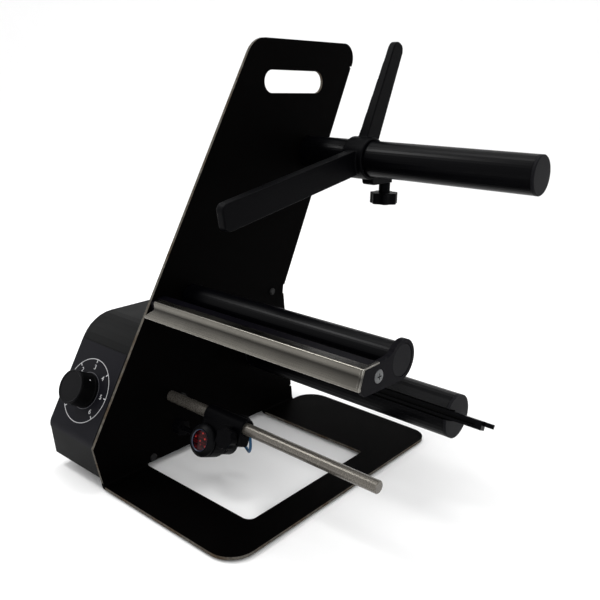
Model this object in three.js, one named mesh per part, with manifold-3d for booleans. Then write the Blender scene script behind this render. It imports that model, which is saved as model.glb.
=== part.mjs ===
// Electric label dispenser: a bent sheet-metal side plate and base that carry a supply shaft with a
// core guide, a peel plate, an idler roller, a motorised liner take-up shaft and a label sensor on a rod.
// Millimetres, +Z up. +X runs along the shafts to their free ends, -Y is the side the label comes out of.
import * as THREE from 'three';
import { mergeVertices } from 'three/addons/utils/BufferGeometryUtils.js';
import Module from 'manifold-3d';

const wasm = await Module();
wasm.setup();

const rad = THREE.MathUtils.degToRad;
const GAP = 0.3; // clearance between pieces that touch
const ARC_STEP = rad(12);
const FINE = 48; // facets round the large visible shafts
const ROUND = 24; // facets round other turned pieces
const SMALL = 12; // facets round screws and small holes

// Frame plate: one sheet, bent along Y where the side plate meets the base
const SHEET = 3;
const BEND_INNER = 2;
const BEND_OUTER = SHEET + BEND_INNER;
const FAR_SIDE = -SHEET - GAP; // where pieces that sit on the side plate's far face start
const BASE_WIDTH = 172.5;
const BASE_DEPTH = 301.5;
const BASE_FRONT_ROUND = 25;
const BASE_REAR_ROUND = 18;
const CUTOUT = { right: 141.2, front: 52.3, rear: 219.9, round: 8 };
const ELBOW = { y: -8.3, z: 44.1 };
const TOP = { z: 413.7, front: 203.5, rear: 379, frontRound: 28, rearRound: 16 };
const KINK = { y: 254.4, z: 145 };
const REAR_FOOT_Y = 273.6;
const FLANGE_DEPTH = 14;
const LOWER_FLANGE = { from: 22, to: 139 };
const UPPER_FLANGE = { from: 149, to: 387 };
const CORNER_INSET = 2.5; // the rear corners beyond the flanges stand in from the bent edge by this
const HANDLE = { y: 265.5, z: 371.7, length: 94, height: 23 };
const FOOT = { height: 2, radius: 8, bevel: 0.7, places: [[14, 20], [150, 24], [150, 278], [16, 262]] };
const PLATE_HOLES = { supply: 4.4, idler: 3.4, bar: 3.4, rod: 2.9, spindle: 10, panel: 2.3 };

// The shafts, by the place of their axes on the side plate
const SUPPLY = { y: 292.4, z: 296.1, radius: 18.65, wall: 2.2, end: 270, bore: 4.3, root: 14 };
const SUPPLY_CAP = { spigot: 16, rim: 3, bevel: 0.8 };
const IDLER = { y: 112.4, z: 166.2, radius: 13.3, wall: 1.5, start: 3, end: 243, axle: 5 };
const REWIND = { y: 208.3, z: 84.5, radius: 20.6, wall: 2.2, start: 4, end: 251.2, spindle: 6 };
const ROD = { y: 84.2, z: 68.1, radius: 5.6, end: 252.2, bore: 2.8, bevel: 0.8 };

// Pan-head screws: radius of the head, radius of the shank, height of the head
const SHAFT_BOLT = { head: 7, shank: 4, height: 5 };
const BAR_SCREW = { head: 5.5, shank: 3, height: 4 };
const ROD_SCREW = { head: 5, shank: 2.5, height: 4 };
const COVER_SCREW = { head: 4, shank: 2, height: 2 };

// Core guide on the supply shaft
const COLLAR = { start: 61, end: 87, radius: 22, bevel: 0.8 };
const COLLAR_MIDDLE = (COLLAR.start + COLLAR.end) / 2;
const FRONT_ARM = { angle: 190.7, reach: 212, root: 26, tip: 26, rootThick: 11.5, tipThick: 9, round: 7 };
const UPPER_ARM = {
  angle: 66.5, reach: 128, root: 22, tip: 17.5, rootThick: 11.5, tipThick: 7.5, round: 8.2,
};
const LUG = { start: 73, end: 87, rear: 335, bottom: 268, slit: 278, slitWidth: 1, top: 284, round: 8 };
const GUIDE_KNOB = {
  x: 80, y: 327, disc: 257, bottom: 245, radius: 15.5, neck: 6.2, lobes: 7, lobeDepth: 2.4, stud: 3,
  recess: 6, recessDepth: 1.2,
};

// Peel plate: a sheet with a hooked lip, a hollow front and a ridge, and a cheek at its free end
const PEEL = { sheet: 2, end: 245.9, top: 173.8, rear: 70, ridge: 60.3, start: 9.5 };
const PEEL_LIP = { y: 55.8, low: 157.1, high: 159.6 };
const PEEL_HOLLOW = { y: 60.8, z: 166.8, radius: 5 };
const CHEEK = { start: 245.7, end: 248.1, rear: 81, edge: 2.3, rim: 1.2 };

// The bar behind the peel plate and the bracket at its free end
const BRACKET = { start: 243.8, end: 248.3, head: 17.2, recess: 13.8, recessDepth: 1.6 };
const BRACKET_TIP = { front: 58.4, frontZ: 156.6, y: 63.5, z: 151 };
const PEEL_BAR = { front: 64, step: 70.3, topRear: 81.5, rear: 90, bottom: 157, shoulder: 165, top: 173.3 };
const PEEL_SCREW = { y: 81, z: 162.2, head: 5.6, shank: 3, hole: 3.3, depth: 18, cross: 2.6, crossHalf: 0.5 };
const AXLE_SCREW = { head: 5.2, shank: 3, hole: 3.4, sink: 6.4, depth: 15 };
const CAP_DISC = { thick: 1, inset: 0.2, bevel: 0.3 };

// Housing on the far side of the side plate
const HOUSING = { width: 74, sheet: 2, bottom: 10, chin: -1.5, elbow: 47, top: 144.3, rearInset: 3.4 };
const HOUSING_ROUND = { chin: 3, elbow: 12, top: 40 };
const COVER_SCREWS = [['panel_screw_rear', 231.9, 146.4], ['panel_screw_front', 58.9, 9.6]];
const FACE_SETBACK = 0.8;
const OVERLAY = { sheet: 0.5, low: 42, top: 91, hole: 4.2 };
const DIAL = { x: -41, up: 45.6, bushing: 3.9 };
const SPEED_KNOB = {
  radius: 16.5, height: 20, bevel: 1, skirt: 17, skirtLow: 1.4, skirtTop: 3.4, hollow: 9, hollowTop: 7,
  bore: 3.2, boreTop: 17, pointer: 45,
};
const POT = {
  radius: 8.2, low: -12, bushing: 3.5, bushingTop: 6, bore: 3.2, boreLow: -7, nut: 6.3, shaft: 2.9,
};
const SWITCH = { x: -48, z: 108, halfWidth: 6.5, halfHeight: 10, depth: 16, rim: 1.5, terminal: 4 };
const JACK = { x: -48, z: 62, body: 4.2, flange: 6, bore: 3.2, boreDepth: 8, depth: 12, pin: 1 };
const BOARD = { x: -22, sheet: 1.6, front: 42, rear: 116, bottom: 30, top: 112 };

// Take-up drive
const GEAR = { module: 1, driveTeeth: 60, pinionTeeth: 16, start: -32, width: 7, slack: 0.3 };
const PINION_OFFSET = (GEAR.module * (GEAR.driveTeeth + GEAR.pinionTeeth)) / 2 + GEAR.slack;
const HUB = { radius: 20, length: 20, seat: 14.3, flange: 26, flangeThick: 4, bore: 10.5, lip: 2 };
const BEARING = { outer: 14, width: 8, outerPlace: 9, innerPlace: 17.8 };
const MOTOR = {
  radius: 21, start: -69, end: -40.5, shaft: 2.5, gearbox: 14, nose: 7, noseLength: 3, bore: 9,
};
const MOTOR_BRACKET = { sheet: 2, front: 24, rear: 4, webRear: 18, reach: 27, foot: 12, hole: 8 };
const SPINDLE_FLANGE = { low: 19.5, radius: 20.4, start: 1, bevelEnd: 1.7 };

// Liner clip in the take-up shaft's slot
const SLOT = { angle: 156, width: 10.4, depth: 13 };
const CLIP = {
  width: 8, start: 8, end: 282, lift: 0.6, tabEnd: 291, tabSheet: 2.4, tabLift: 2, groove: 3, grooveDepth: 5,
};

// Label sensor, on a clamp that is turned about the rod
const SENSOR = { tilt: 22, x: 67, drop: 24, radius: 13.2, front: -9, rear: 28, bezel: 15.5, lens: 9.4 };
const CLAMP = {
  start: 58, end: 107, liner: 6.6, collar: 8.8, band: 15.6, front: -8, rear: 7, lugBottom: -17,
  sideReach: 3, sideInset: 2, sideHalf: 7, sideHole: 2.8,
};
const ROD_KNOB = {
  x: 98, drop: 12, radius: 10.4, lobes: 7, lobeDepth: 1.6, thick: 8, neck: 2, neckRadius: 5.5, stud: 2.2,
};
const BARREL_KNOB = { start: 20, end: 30, radius: 8, lobes: 6, lobeDepth: 1.3, stud: 2.5, y: -0.5 };
const GROMMET = { y: 97, z: 60, hole: 5, flange: 7, outside: 1.6, inside: 2 };

// The model's origin: below the middle of the whole object
const MIDDLE_X = 107;
const MIDDLE_Y = 179;

const slant = Math.atan2(TOP.front - ELBOW.y, TOP.z - ELBOW.z);
const faceTilt = Math.PI / 2 - slant;

// ---------- helpers ----------

function outward(geometry) {
  const position = geometry.attributes.position;
  const index = geometry.index.array;
  const [a, b, c] = [new THREE.Vector3(), new THREE.Vector3(), new THREE.Vector3()];
  let volume = 0;
  for (let i = 0; i < index.length; i += 3) {
    a.fromBufferAttribute(position, index[i]);
    b.fromBufferAttribute(position, index[i + 1]);
    c.fromBufferAttribute(position, index[i + 2]);
    volume += a.dot(b.cross(c));
  }
  if (volume < 0) {
    for (let i = 0; i < index.length; i += 3) [index[i + 1], index[i + 2]] = [index[i + 2], index[i + 1]];
  }
  return geometry;
}

function closed(geometry) {
  const plain = geometry.clone();
  for (const name of Object.keys(plain.attributes)) {
    if (name !== 'position') plain.deleteAttribute(name);
  }
  return outward(mergeVertices(plain, 1e-4));
}

function toManifold(geometry) {
  const plain = closed(geometry);
  return new wasm.Manifold(
    new wasm.Mesh({
      numProp: 3,
      vertProperties: new Float32Array(plain.attributes.position.array),
      triVerts: new Uint32Array(plain.index.array),
    }),
  );
}

function fromManifold(solid) {
  const mesh = solid.getMesh();
  const geometry = new THREE.BufferGeometry();
  geometry.setAttribute('position', new THREE.BufferAttribute(new Float32Array(mesh.vertProperties), 3));
  geometry.setIndex(new THREE.BufferAttribute(new Uint32Array(mesh.triVerts), 1));
  return geometry;
}

function join(...geometries) {
  return fromManifold(geometries.map(toManifold).reduce((whole, piece) => whole.add(piece)));
}

function cut(geometry, ...tools) {
  const blank = toManifold(geometry);
  return fromManifold(tools.map(toManifold).reduce((whole, tool) => whole.subtract(tool), blank));
}

function common(first, second) {
  return fromManifold(toManifold(first).intersect(toManifold(second)));
}

// The points of an arc, both ends included; a positive turn runs anticlockwise
function arcPoints(x, y, radius, from, turn) {
  const steps = Math.max(1, Math.ceil(Math.abs(turn) / ARC_STEP));
  return Array.from({ length: steps + 1 }, (_, i) => {
    const angle = from + (turn * i) / steps;
    return new THREE.Vector2(x + radius * Math.cos(angle), y + radius * Math.sin(angle));
  });
}

// A closed outline from corners [x, y, radius]; a corner with a radius is rounded by a tangent arc
function rounded(corners) {
  const at = (i) => new THREE.Vector2(...corners[(i + corners.length) % corners.length].slice(0, 2));
  const points = corners.flatMap(([, , radius = 0], i) => {
    if (radius === 0) return [at(i)];
    const back = at(i - 1).sub(at(i)).normalize();
    const ahead = at(i + 1).sub(at(i)).normalize();
    const half = Math.acos(THREE.MathUtils.clamp(back.dot(ahead), -1, 1)) / 2;
    const start = at(i).addScaledVector(back, radius / Math.tan(half));
    const centre = at(i).addScaledVector(back.clone().add(ahead).normalize(), radius / Math.sin(half));
    const turn = Math.sign(ahead.cross(back)) * (Math.PI - 2 * half);
    return arcPoints(centre.x, centre.y, radius, Math.atan2(start.y - centre.y, start.x - centre.x), turn);
  });
  return new THREE.Shape(points);
}

// The path's corners, moved sideways by a distance (to the left of the way the path runs)
function offsetPath(path, distance) {
  const normal = (from, to) => new THREE.Vector2(from[1] - to[1], to[0] - from[0]).normalize();
  return path.map(([x, y, radius = 0], i) => {
    const before = normal(path[Math.max(i - 1, 0)], path[Math.max(i, 1)]);
    const after = normal(path[Math.min(i, path.length - 2)], path[Math.min(i + 1, path.length - 1)]);
    const scale = distance / (1 + before.dot(after));
    const turnsLeft = before.cross(after) > 0;
    const newRadius = radius ? Math.max(radius + (turnsLeft ? -distance : distance), 0.2) : 0;
    return [x + (before.x + after.x) * scale, y + (before.y + after.y) * scale, newRadius];
  });
}

// The outline of a bent sheet whose one side follows the path
function sheetOutline(path, thickness) {
  return rounded([...path, ...offsetPath(path, thickness).reverse()]);
}

function circle(x, y, radius) {
  const steps = radius > 9 ? ROUND : SMALL;
  const angles = Array.from({ length: steps }, (_, i) => (i / steps) * Math.PI * 2);
  return new THREE.Path(angles.map((angle) =>
    new THREE.Vector2(x + radius * Math.cos(angle), y + radius * Math.sin(angle))));
}

function withHoles(shape, ...holes) {
  shape.holes.push(...holes);
  return shape;
}

function box(low, high) {
  const size = high.map((value, i) => value - low[i]);
  return new THREE.BoxGeometry(...size).translate(...low.map((value, i) => value + size[i] / 2));
}

function alongZ(shape, from, to) {
  return new THREE.ExtrudeGeometry(shape, { depth: to - from, bevelEnabled: false }).translate(0, 0, from);
}

// The outline is drawn with Y to the right and Z up
function alongX(shape, from, to) {
  const turn = new THREE.Matrix4().makeBasis(
    new THREE.Vector3(0, 1, 0), new THREE.Vector3(0, 0, 1), new THREE.Vector3(1, 0, 0));
  return alongZ(shape, from, to).applyMatrix4(turn);
}

// The outline is drawn with X to the right and Z up, and runs from y = from to y = to
function alongY(shape, from, to) {
  return alongZ(shape, -to, -from).rotateX(Math.PI / 2);
}

function rod(radius, from, to, segments = SMALL) {
  return new THREE.CylinderGeometry(radius, radius, to - from, segments).translate(0, (from + to) / 2, 0);
}

const rodX = (radius, from, to, y, z, segments) =>
  rod(radius, from, to, segments).rotateZ(-Math.PI / 2).translate(0, y, z);
const rodZ = (radius, from, to, x, y, segments) =>
  rod(radius, from, to, segments).rotateX(Math.PI / 2).translate(x, y, 0);

// A turned piece with its axis along X: the profile's points are [radius, x]
function turnedX(profile, y, z, segments = ROUND) {
  const points = profile.map(([radius, x]) => new THREE.Vector2(radius, x));
  return new THREE.LatheGeometry(points, segments).rotateZ(-Math.PI / 2).translate(0, y, z);
}

// The same, with its axis along Z and the profile's points as [radius, z]
function turnedZ(profile, segments = ROUND) {
  const points = profile.map(([radius, z]) => new THREE.Vector2(radius, z));
  return new THREE.LatheGeometry(points, segments).rotateX(Math.PI / 2);
}

function tubeAlong(points, radius, steps, sides = 8) {
  const places = points.map((point) => new THREE.Vector3(...point));
  const curve = new THREE.CatmullRomCurve3(places, false, 'centripetal');
  const section = new THREE.Shape();
  for (let i = 0; i < sides; i += 1) {
    const angle = (i / sides) * Math.PI * 2;
    const [x, y] = [radius * Math.cos(angle), radius * Math.sin(angle)];
    if (i === 0) section.moveTo(x, y);
    else section.lineTo(x, y);
  }
  return new THREE.ExtrudeGeometry(section, { steps, extrudePath: curve, bevelEnabled: false });
}

// A hand knob's lobed outline
function lobed(radius, lobes, depth, points = 6) {
  const shape = new THREE.Shape();
  const count = lobes * points;
  for (let i = 0; i < count; i += 1) {
    const angle = (i / count) * Math.PI * 2;
    const reach = radius - depth * (0.5 - 0.5 * Math.cos(lobes * angle));
    const [x, y] = [reach * Math.cos(angle), reach * Math.sin(angle)];
    if (i === 0) shape.moveTo(x, y);
    else shape.lineTo(x, y);
  }
  return shape;
}

// A spur gear's outline; a tooth's half width is a share of the pitch, at its root and at its tip
const TOOTH = { rootShare: 0.27, tipShare: 0.11, dedendum: 1.25, tipRelief: 0.1 };

function gearOutline(teeth, module, phase) {
  const shape = new THREE.Shape();
  const pitch = (Math.PI * 2) / teeth;
  const tip = module * (teeth / 2 + 1) - TOOTH.tipRelief;
  const root = module * (teeth / 2 - TOOTH.dedendum);
  for (let i = 0; i < teeth; i += 1) {
    const flank = [
      [root, -TOOTH.rootShare], [tip, -TOOTH.tipShare], [tip, TOOTH.tipShare], [root, TOOTH.rootShare],
    ];
    flank.forEach(([radius, share], k) => {
      const angle = phase + (i + share) * pitch;
      const [x, y] = [radius * Math.cos(angle), radius * Math.sin(angle)];
      if (i === 0 && k === 0) shape.moveTo(x, y);
      else shape.lineTo(x, y);
    });
  }
  return shape;
}

// ---------- materials ----------

const finish = (colour, roughness, metalness) =>
  new THREE.MeshStandardMaterial({ color: colour, roughness, metalness });
const looks = {
  blackPaint: () => finish('#0c0c0d', 0.45, 0.2),
  greyPaint: () => finish('#2b2d2e', 0.5, 0.2),
  overlayFilm: () => finish('#1e1e26', 0.6, 0),
  blackPlastic: () => finish('#17171a', 0.5, 0),
  greyPlastic: () => finish('#3c3c40', 0.5, 0),
  stainless: () => finish('#a29d96', 0.3, 1),
  zinc: () => finish('#c3c6c8', 0.35, 1),
  aluminium: () => finish('#9a9ca0', 0.4, 1),
  brass: () => finish('#b39a5c', 0.35, 1),
  circuitBoard: () => finish('#1f5a35', 0.6, 0),
  rubber: () => finish('#141414', 0.9, 0),
  redLens: () => finish('#a01820', 0.2, 0),
  blueCable: () => finish('#3a86b4', 0.5, 0),
};

const dispenser = new THREE.Group();
dispenser.position.set(-MIDDLE_X, -MIDDLE_Y, FOOT.height);
const object = new THREE.Group();
object.add(dispenser);

function part(name, geometry, material, parent = dispenser) {
  const mesh = new THREE.Mesh(closed(geometry), material());
  mesh.name = name;
  parent.add(mesh);
  return mesh;
}

// ---------- frame plate ----------

// A point on the rear edge at a height, moved inward by a distance square to the edge
function rearEdge(z, inward = 0) {
  const upper = z > KINK.z;
  const [low, high] = upper
    ? [new THREE.Vector2(KINK.y, KINK.z), new THREE.Vector2(TOP.rear, TOP.z)]
    : [new THREE.Vector2(REAR_FOOT_Y, 0), new THREE.Vector2(KINK.y, KINK.z)];
  const along = high.clone().sub(low).normalize();
  const point = low.clone().addScaledVector(along, (z - low.y) / along.y);
  return point.add(new THREE.Vector2(-along.y, along.x).multiplyScalar(inward));
}

function sidePlate() {
  const corner = (point) => [point.x, point.y];
  const outline = rounded([
    [0, BEND_OUTER],
    corner(rearEdge(BEND_OUTER, CORNER_INSET)),
    corner(rearEdge(LOWER_FLANGE.from - 2, CORNER_INSET)),
    corner(rearEdge(LOWER_FLANGE.from - 2, BEND_OUTER)),
    corner(rearEdge(LOWER_FLANGE.to, BEND_OUTER)),
    corner(rearEdge(UPPER_FLANGE.from, BEND_OUTER)),
    corner(rearEdge(UPPER_FLANGE.to + 2, BEND_OUTER)),
    corner(rearEdge(UPPER_FLANGE.to + 2, CORNER_INSET)),
    [...corner(rearEdge(TOP.z, CORNER_INSET)), TOP.rearRound],
    [TOP.front, TOP.z, TOP.frontRound],
    [ELBOW.y, ELBOW.z, 1.5],
  ]);
  const end = HANDLE.height / 2;
  const half = HANDLE.length / 2 - end;
  const handle = new THREE.Path([
    ...arcPoints(HANDLE.y + half, HANDLE.z, end, -Math.PI / 2, Math.PI),
    ...arcPoints(HANDLE.y - half, HANDLE.z, end, Math.PI / 2, Math.PI),
  ]);
  const holes = [
    circle(SUPPLY.y, SUPPLY.z, PLATE_HOLES.supply),
    circle(IDLER.y, IDLER.z, PLATE_HOLES.idler),
    circle(PEEL_SCREW.y, PEEL_SCREW.z, PLATE_HOLES.bar),
    circle(ROD.y, ROD.z, PLATE_HOLES.rod),
    circle(REWIND.y, REWIND.z, PLATE_HOLES.spindle),
    circle(GROMMET.y, GROMMET.z, GROMMET.hole),
    ...COVER_SCREWS.map(([, y, z]) => circle(y, z, PLATE_HOLES.panel)),
  ];
  return alongX(withHoles(outline, handle, ...holes), -SHEET, 0);
}

function baseSheet() {
  const outline = rounded([
    [BEND_INNER, 0],
    [BASE_WIDTH, 0, BASE_FRONT_ROUND],
    [BASE_WIDTH, BASE_DEPTH, BASE_REAR_ROUND],
    [BEND_INNER, BASE_DEPTH, BASE_FRONT_ROUND],
    [BEND_INNER, CUTOUT.rear],
    [CUTOUT.right, CUTOUT.rear, 4],
    [CUTOUT.right, CUTOUT.front, CUTOUT.round],
    [BEND_INNER, CUTOUT.front],
  ]);
  return alongZ(outline, 0, SHEET);
}

// A quarter bend between the base (below) and the side plate, drawn in X and Z
function bendStrip(from, to) {
  const outer = arcPoints(BEND_INNER, BEND_OUTER, BEND_OUTER, Math.PI, Math.PI / 2);
  const inner = arcPoints(BEND_INNER, BEND_OUTER, BEND_INNER, Math.PI * 1.5, -Math.PI / 2);
  return alongY(new THREE.Shape([...outer, ...inner]), from, to);
}

// A stiffening flange along a stretch of the rear edge, bent away from the shafts
function rearFlange(stretch) {
  const low = rearEdge(stretch.from);
  const high = rearEdge(stretch.to);
  // drawn with X to the right and the inward side down, then laid along the edge
  const outline = new THREE.Shape([
    new THREE.Vector2(-FLANGE_DEPTH, 0),
    ...arcPoints(-BEND_OUTER, -BEND_OUTER, BEND_OUTER, Math.PI / 2, -Math.PI / 2),
    ...arcPoints(-BEND_OUTER, -BEND_OUTER, BEND_INNER, 0, Math.PI / 2),
    new THREE.Vector2(-FLANGE_DEPTH, -SHEET),
  ]);
  const along = new THREE.Vector3(0, high.x - low.x, high.y - low.y);
  const length = along.length();
  along.normalize();
  const inwardUp = new THREE.Vector3(0, along.z, -along.y);
  const place = new THREE.Matrix4()
    .makeBasis(new THREE.Vector3(1, 0, 0), inwardUp, along)
    .setPosition(0, low.x, low.y);
  return alongZ(outline, 0, length).applyMatrix4(place);
}

function framePlate() {
  return join(
    sidePlate(), baseSheet(),
    bendStrip(0, CUTOUT.front), bendStrip(CUTOUT.rear, rearEdge(BEND_OUTER, CORNER_INSET).x),
    rearFlange(LOWER_FLANGE), rearFlange(UPPER_FLANGE));
}

part('frame_plate', framePlate(), looks.blackPaint);
FOOT.places.forEach(([x, y], i) => {
  const { height, radius, bevel } = FOOT;
  const foot = turnedZ([
    [0, -height], [radius - bevel, -height], [radius, bevel - height], [radius, -GAP], [0, -GAP],
  ]);
  part(`rubber_foot_${i + 1}`, foot.translate(x, y, 0), looks.rubber);
});

// ---------- supply shaft and core guide ----------

function supplyShaft() {
  const { radius, wall, bore, root, end, y, z } = SUPPLY;
  const mouth = end - SUPPLY_CAP.rim - GAP;
  return turnedX([
    [bore, GAP], [radius, GAP], [radius, mouth], [radius - wall, mouth], [radius - wall, root], [bore, root],
    [bore, GAP],
  ], y, z, FINE);
}

function supplyCap() {
  const { radius, wall, end, y, z } = SUPPLY;
  const { spigot, rim, bevel } = SUPPLY_CAP;
  const inner = radius - wall - GAP;
  return turnedX([
    [0, end - spigot], [inner - 1, end - spigot], [inner, end - spigot + 1], [inner, end - rim],
    [radius, end - rim], [radius, end - bevel], [radius - bevel, end], [0, end],
  ], y, z, FINE);
}

// A pan-head machine screw along X: the head is on the side away from its point
function screwX(size, headX, pointX, y, z) {
  const { head, shank, height } = size;
  const way = Math.sign(pointX - headX);
  const [crown, edge] = [headX - way * height, headX - way * height * 0.4];
  return turnedX([
    [0, crown], [head * 0.72, crown], [head, edge], [head, headX], [shank, headX], [shank, pointX],
    [0, pointX],
  ], y, z, SMALL);
}

// An arm in its own frame: x runs outward from the shaft, y across the arm, z along the shaft
function arm({ reach, root, tip, rootThick, tipThick, round }) {
  const start = SUPPLY.radius + 1;
  const face = rounded([
    [start, -root / 2], [reach, -tip / 2, round], [reach, tip / 2, round], [start, root / 2],
  ]);
  const side = rounded([
    [start, -rootThick / 2], [reach, rootThick / 2 - tipThick, 1.5], [reach, rootThick / 2, 1],
    [start, rootThick / 2],
  ]);
  return common(alongZ(face, -rootThick, rootThick), alongY(side, -root, root));
}

function laidOnShaft(geometry, angle) {
  const turn = new THREE.Matrix4().makeBasis(
    new THREE.Vector3(0, Math.cos(rad(angle)), Math.sin(rad(angle))),
    new THREE.Vector3(0, -Math.sin(rad(angle)), Math.cos(rad(angle))),
    new THREE.Vector3(1, 0, 0));
  return geometry.applyMatrix4(turn).translate(COLLAR_MIDDLE, SUPPLY.y, SUPPLY.z);
}

function guideTube() {
  const { start, end, radius, bevel } = COLLAR;
  const inside = SUPPLY.radius - 2;
  return turnedX([
    [inside, start], [radius - bevel, start], [radius, start + bevel], [radius, end - bevel],
    [radius - bevel, end], [inside, end], [inside, start],
  ], SUPPLY.y, SUPPLY.z, FINE);
}

// The split lug beside the tube, rounded round the knob's stud
function guideLug() {
  const { start, end, rear, bottom, top, round } = LUG;
  const centre = rear - round;
  const section = rounded([
    [SUPPLY.y, bottom, 4], [rear, bottom, 3], [rear, top, 3], [SUPPLY.y + 4, top],
  ]);
  const tip = rodZ(round, bottom - 1, top + 1, GUIDE_KNOB.x, centre, ROUND);
  const root = box([start - 1, SUPPLY.y - 1, bottom - 1], [end + 1, centre, top + 1]);
  return common(alongX(section, start, end), join(tip, root));
}

function coreGuide() {
  const whole = join(
    guideTube(), laidOnShaft(arm(FRONT_ARM), FRONT_ARM.angle), laidOnShaft(arm(UPPER_ARM), UPPER_ARM.angle),
    guideLug());
  const bore = rodX(SUPPLY.radius + GAP, COLLAR.start - 5, COLLAR.end + 5, SUPPLY.y, SUPPLY.z, FINE);
  const slit = box(
    [COLLAR.start - 1, SUPPLY.y + 4, LUG.slit], [LUG.end + 1, LUG.rear + 1, LUG.slit + LUG.slitWidth]);
  const studHole = rodZ(
    GUIDE_KNOB.stud + GAP, LUG.bottom - 1, LUG.top - 1.4, GUIDE_KNOB.x, GUIDE_KNOB.y);
  return cut(whole, bore, slit, studHole);
}

function guideKnob() {
  const { x, y, disc, bottom, radius, neck, lobes, lobeDepth, stud } = GUIDE_KNOB;
  const grip = alongZ(lobed(radius, lobes, lobeDepth), bottom, disc).translate(x, y, 0);
  const stem = rodZ(neck, disc - 1, LUG.bottom - GAP, x, y, ROUND);
  const thread = rodZ(stud, LUG.bottom - 1, LUG.top - 1.8, x, y);
  const recess = rodZ(GUIDE_KNOB.recess, bottom - 1, bottom + GUIDE_KNOB.recessDepth, x, y);
  return cut(join(grip, stem, thread), recess);
}

part('supply_shaft', supplyShaft(), looks.blackPaint);
part('supply_shaft_cap', supplyCap(), looks.blackPlastic);
part('supply_shaft_bolt', screwX(SHAFT_BOLT, FAR_SIDE, 12, SUPPLY.y, SUPPLY.z), looks.zinc);
part('core_guide', coreGuide(), looks.blackPlastic);
part('core_guide_knob', guideKnob(), looks.blackPlastic);

// ---------- peel plate, bar, bracket and idler roller ----------

const { y: lipY, low: lipLow, high: lipHigh } = PEEL_LIP;
const peelPath = [
  [lipY, lipLow], [lipY, lipHigh, 1], [PEEL_HOLLOW.y, PEEL_HOLLOW.z, PEEL_HOLLOW.radius],
  [PEEL.ridge, PEEL.top, 1.6], [PEEL.rear, PEEL.top],
];

// The cheek's inner side: its points run from the lip to the ridge and on to the rear
const cheekInside = [
  [lipY + CHEEK.edge, lipLow], [lipY + CHEEK.edge, lipHigh], [PEEL.ridge + CHEEK.edge, PEEL.top - CHEEK.rim],
  [CHEEK.rear, PEEL.top - CHEEK.rim],
];

function peelPlate() {
  const sheet = alongX(sheetOutline(peelPath, -PEEL.sheet), GAP, PEEL.end);
  const cheek = alongX(rounded([
    [lipY, lipLow], [lipY, lipHigh, 0.8], [PEEL.ridge, PEEL.top, 1.6], [CHEEK.rear, PEEL.top],
    ...cheekInside.toReversed(),
  ]), CHEEK.start, CHEEK.end);
  // the upper part stops short of the side plate, with a slanting cut down to the lip
  const corner = alongY(rounded([
    [-1, lipHigh - 1], [GAP, lipHigh - 1], [PEEL.start, PEEL_HOLLOW.z - 1], [PEEL.start, PEEL.top + 1],
    [-1, PEEL.top + 1],
  ]), lipY - 5, PEEL.rear + 5);
  return cut(join(sheet, cheek), corner);
}

// Everything ahead of a line of points drawn in Y and Z from low to high
function ahead(line) {
  const [far, low, high] = [lipY - 20, lipLow - 20, PEEL.top + 5];
  const last = line[line.length - 1];
  return rounded([[line[0][0], low], ...line, [last[0], high], [far, high], [far, low]]);
}

function endBracket() {
  const body = rounded([
    [BRACKET_TIP.front, BRACKET_TIP.frontZ],
    [BRACKET_TIP.y, BRACKET_TIP.z, 1.5],
    [IDLER.y, IDLER.z - BRACKET.head + 0.2],
    [IDLER.y, IDLER.z + BRACKET.head - 2],
    [IDLER.y - 6.4, IDLER.z + BRACKET.head - 1.5],
    [IDLER.y - 17, PEEL.top + 0.4, 14],
    [CHEEK.rear + GAP, PEEL.top],
    [lipY, PEEL.top],
    [lipY, BRACKET_TIP.frontZ],
  ]);
  const blank = join(alongX(body, BRACKET.start, BRACKET.end),
    rodX(BRACKET.head, BRACKET.start, BRACKET.end, IDLER.y, IDLER.z, FINE));
  const sheetInside = offsetPath(peelPath, -PEEL.sheet - GAP);
  sheetInside[sheetInside.length - 1][0] += GAP;
  const sheetRoom = alongX(ahead(sheetInside), BRACKET.start - 1, PEEL.end + GAP);
  const cheekRoom = alongX(ahead(cheekInside.map(([y, z], i) => [y + GAP, i < 2 ? z : z - GAP])),
    CHEEK.start - GAP, BRACKET.end + 1);
  const floor = BRACKET.end - BRACKET.recessDepth;
  const recess = rodX(BRACKET.recess, floor, BRACKET.end + 1, IDLER.y, IDLER.z, FINE);
  const { hole, sink } = AXLE_SCREW;
  const axleHole = rodX(hole, BRACKET.start - 1, BRACKET.end, IDLER.y, IDLER.z);
  const axleSink = turnedX([
    [0, floor - 2.6], [hole, floor - 2.6], [sink, floor + 0.4], [sink, BRACKET.end], [0, BRACKET.end],
  ], IDLER.y, IDLER.z);
  const screwHole = rodX(PEEL_SCREW.hole, BRACKET.start - 1, BRACKET.end + 1, PEEL_SCREW.y, PEEL_SCREW.z);
  const sinkWidth = PEEL_SCREW.head + 0.5;
  const screwSink = turnedX([
    [0, BRACKET.end - 3.1], [PEEL_SCREW.shank, BRACKET.end - 3.1], [sinkWidth, BRACKET.end],
    [sinkWidth, BRACKET.end + 1], [0, BRACKET.end + 1],
  ], PEEL_SCREW.y, PEEL_SCREW.z);
  return cut(blank, sheetRoom, cheekRoom, recess, axleHole, axleSink, screwHole, screwSink);
}

function bracketScrew() {
  const { y, z, head, shank, cross, crossHalf } = PEEL_SCREW;
  const slots = [0, 90].map((turn) =>
    box([BRACKET.end - 1.4, -cross, -crossHalf], [BRACKET.end + 1, cross, crossHalf])
      .rotateX(rad(turn)).translate(0, y, z));
  const point = BRACKET.start - 14;
  const body = turnedX([
    [0, point], [shank, point], [shank, BRACKET.end - 2.7], [head, BRACKET.end - 0.1],
    [head - 0.5, BRACKET.end + 0.3], [0, BRACKET.end + 0.7],
  ], y, z);
  return cut(body, ...slots);
}

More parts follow.
